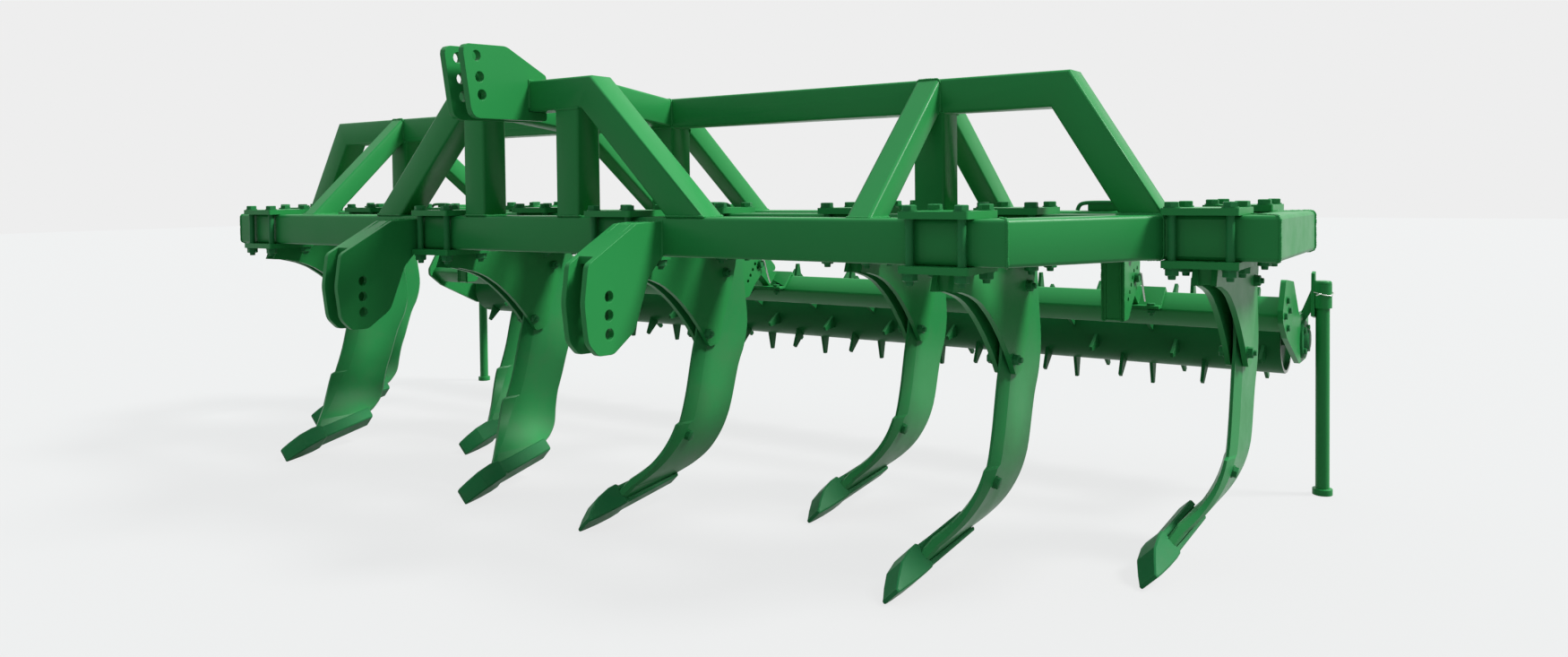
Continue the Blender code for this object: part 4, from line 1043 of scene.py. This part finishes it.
# %% [markdown]
# Pins are kept in by spring wire bent into clips. A wire is a line of points given a round section:
# the curve's bevel makes it, and the result is stored as a mesh.

# %% Wire clips and pin handles
def wire(name, points, radius, body, material=ZINC):
    """Round wire along points, with its ends closed."""
    curve = bpy.data.curves.new(name, "CURVE")
    curve.dimensions = "3D"
    curve.bevel_depth = radius
    curve.bevel_resolution = 3
    curve.use_fill_caps = True
    spline = curve.splines.new("NURBS")
    spline.points.add(len(points) - 1)
    for point, place in zip(spline.points, points):
        point.co = (*place, 1)
    spline.order_u = min(4, len(points))
    spline.use_endpoint_u = True
    spline.resolution_u = 5
    show(name, result_of(put("wire", curve)), body, material, smooth=60)


REAR_BACK = 2 * BEAM_PITCH + BEAM     # rear face of the rear beam
PIN_SIDE, PIN_BACK, PIN_DROP = 0.032, 0.112, 0.192
PIN_PROFILE = ((-0.006, 0), (-0.006, 0.012), (0.004, 0.014), (0.010, 0.012), (0.011, 0))
# a clip's way, behind the beam and from its top, and a rod's way, across the beam and from its top
CLIP = ((0.106, -0.180), (0.118, -0.176), (0.122, -0.192), (0.135, -0.222), (0.150, -0.255),
        (0.156, -0.262))
CLIP_SIDE, CLIP_WIRE = PIN_SIDE + 0.012, 0.0028
ROD = ((-0.064, 0.002), (-0.060, 0.016), (-0.050, 0.022), (-0.020, 0.023), (0.020, 0.023),
       (0.050, 0.022), (0.060, 0.016), (0.066, 0.002))
ROD_BACK, ROD_WIRE = 0.100, 0.0055
HOOK_HALF, HOOK_FRONT, HOOK_BACK, HOOK_HIGH = 0.040, 0.088, 0.004, 0.020
for place, x in zip(PLACES, ARMS):
    knob = turned(PIN_PROFILE, at(x + PIN_SIDE, REAR_BACK + PIN_BACK, -PIN_DROP), (1, 0, 0), 20)
    show(f"pin_{place}", to_mesh(knob, "pin"), "main_frame", BOLT_ENAMEL)
    clip = [at(x + CLIP_SIDE, REAR_BACK + dy, dz) for dy, dz in CLIP]
    wire(f"pin_clip_{place}", clip, CLIP_WIRE, "main_frame")
    base = rectangle(x - HOOK_HALF, REAR_BACK - HOOK_FRONT, x + HOOK_HALF, REAR_BACK + HOOK_BACK)
    plate = plate_from(base, SEAT, HOOK_HIGH, flat)
    show(f"hook_plate_{place}", to_mesh(plate, "hook"), "main_frame", ENAMEL, edge=0.0015)
    rod = [at(x + dx, REAR_BACK - ROD_BACK, dz) for dx, dz in ROD]
    wire(f"hook_rod_{place}", rod, ROD_WIRE, "main_frame", BOLT_ENAMEL)
print("pins and rods on", len(ARMS), "brackets")

# %% [markdown]
# Each parking stand ends in a chamfered cap. A spring clip round the sleeve keeps the stand's pin in,
# and a lug beside the sleeve takes the pin's handle.

# %% Stand caps, clips and lugs
CAP_PROFILE = ((-0.004, 0), (-0.004, 0.0185), (0.0045, 0.0245), (0.009, 0.0245), (0.013, 0.0215),
               (0.0135, 0))
SPRING_DROP, SPRING_R, SPRING_WIRE = 0.024, 0.0285, 0.0016
LUG = ((0.030, -0.330), (-0.022, -0.320), (-0.012, -0.195), (0.008, -0.190))
LUG_HALF, LUG_IN = 0.005, 0.024
for side, sign in SIDES:
    low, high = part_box(f"stand_leg_{side}")
    axis_x, axis_y = (low.x + high.x) / 2, (low.y + high.y) / 2
    cap = turned(CAP_PROFILE, (axis_x, axis_y, high.z), (0, 0, 1), 32)
    show(f"stand_cap_{side}", to_mesh(cap, "cap"), f"stand_{side}", ENAMEL)
    centre = Vector((axis_x, axis_y, high.z - SPRING_DROP))
    loop = [centre + Vector((cos(turn) * SPRING_R, sin(turn) * SPRING_R, 0.004 * sin(2 * turn)))
            for turn in [k * pi / 8 - 2.4 for k in range(13)]]
    tail = [centre + Vector((0.010, -0.040, 0.006)), centre + Vector((-0.012, -0.038, -0.003))]
    wire(f"stand_clip_{side}", loop + tail, SPRING_WIRE, "roller_frame")
    outline = [Vector((axis_y - FRONT_Y + u, v)) for u, v in LUG]
    plate = plate_from(outline, -LUG_HALF, LUG_HALF, upright(axis_x - sign * LUG_IN))
    show(f"stand_lug_{side}", to_mesh(plate, "lug"), "roller_frame", ENAMEL, edge=0.001)
print("stands have caps and clips")

# %% [markdown]
# The machine stands on a plain pale floor. Seen directly or in a reflection, floor and sky are the
# same pale grey. The light on the object comes from a soft sun to its right and behind it, and from a
# slightly blue sky that is brighter above and behind the machine than in front of it.

# %% Floor
PALE, FLOOR_GREY, FLOOR_GLOW, GLOW_SHARE = 0.855, 0.20, 1.24, 0.72


def seen_plain(tree):
    """One where a surface or the sky is seen directly, in a reflection or through glass, else zero."""
    rays = wire_up(tree, "ShaderNodeLightPath").outputs
    either = sums(tree, "MAXIMUM", rays["Is Camera Ray"], rays["Is Glossy Ray"])
    return sums(tree, "MAXIMUM", either, rays["Is Transmission Ray"])


bpy.ops.mesh.primitive_plane_add(size=60)
floor = bpy.context.object
floor.name = "floor"
pale = bpy.data.materials.new("pale floor")
pale.use_nodes = True
tree = pale.node_tree
ground = tree.nodes["Principled BSDF"]
ground.inputs["Base Color"].default_value = (FLOOR_GREY, FLOOR_GREY, FLOOR_GREY, 1)
ground.inputs["Roughness"].default_value = 0.9
glow = wire_up(tree, "ShaderNodeEmission", {"Color": (PALE, PALE, PALE, 1), "Strength": FLOOR_GLOW})
part = sums(tree, "MULTIPLY", seen_plain(tree), GLOW_SHARE)
both = wire_up(tree, "ShaderNodeMixShader", {"Fac": part, 1: ground.outputs[0], 2: glow.outputs[0]})
tree.links.new(both.outputs[0], tree.nodes["Material Output"].inputs["Surface"])
floor.data.materials.append(pale)
print("floor", floor.name)

# %% [markdown]
# The world has two sides. To light that falls on the object it is a sky whose strength depends on the
# direction, and seen directly it is the plain pale grey. The view transform stays Standard, so that a
# colour comes out about as it is written.

# %% World and key light
TO_SUN, SUN_STRENGTH, SUN_WIDTH = (0.60, 0.33, 0.73), 4.1, radians(14)
TO_BRIGHT_SKY, SKY_COLOUR = (-0.45, 0.50, 0.74), (0.74, 0.98, 1.0, 1)
world = bpy.data.worlds.new("studio")
bpy.context.scene.world = world
world.use_nodes = True
tree = world.node_tree
sky = tree.nodes["Background"]
sky.inputs["Color"].default_value = SKY_COLOUR
heading = wire_up(tree, "ShaderNodeTexCoord").outputs["Generated"]
bright = wire_up(tree, "ShaderNodeVectorMath", {0: heading, 1: TO_BRIGHT_SKY}, operation="DOT_PRODUCT")
strength = wire_up(tree, "ShaderNodeMapRange", {"Value": bright.outputs["Value"], "From Min": -0.10,
                                                "From Max": 0.95, "To Min": 0.25, "To Max": 1.25},
                   interpolation_type="SMOOTHSTEP")
tree.links.new(strength.outputs["Result"], sky.inputs["Strength"])
plain = wire_up(tree, "ShaderNodeBackground", {"Color": (PALE, PALE, PALE, 1), "Strength": 1.0})
both = wire_up(tree, "ShaderNodeMixShader", {"Fac": seen_plain(tree), 1: sky.outputs[0], 2: plain.outputs[0]})
tree.links.new(both.outputs[0], tree.nodes["World Output"].inputs["Surface"])

sun_data = bpy.data.lights.new("key", "SUN")
sun_data.energy = SUN_STRENGTH
sun_data.angle = SUN_WIDTH
sun = put("key", sun_data)
sun.rotation_euler = Vector(TO_SUN).to_track_quat("Z", "Y").to_euler()
bpy.context.scene.view_settings.view_transform = "Standard"
print("world and key light set")
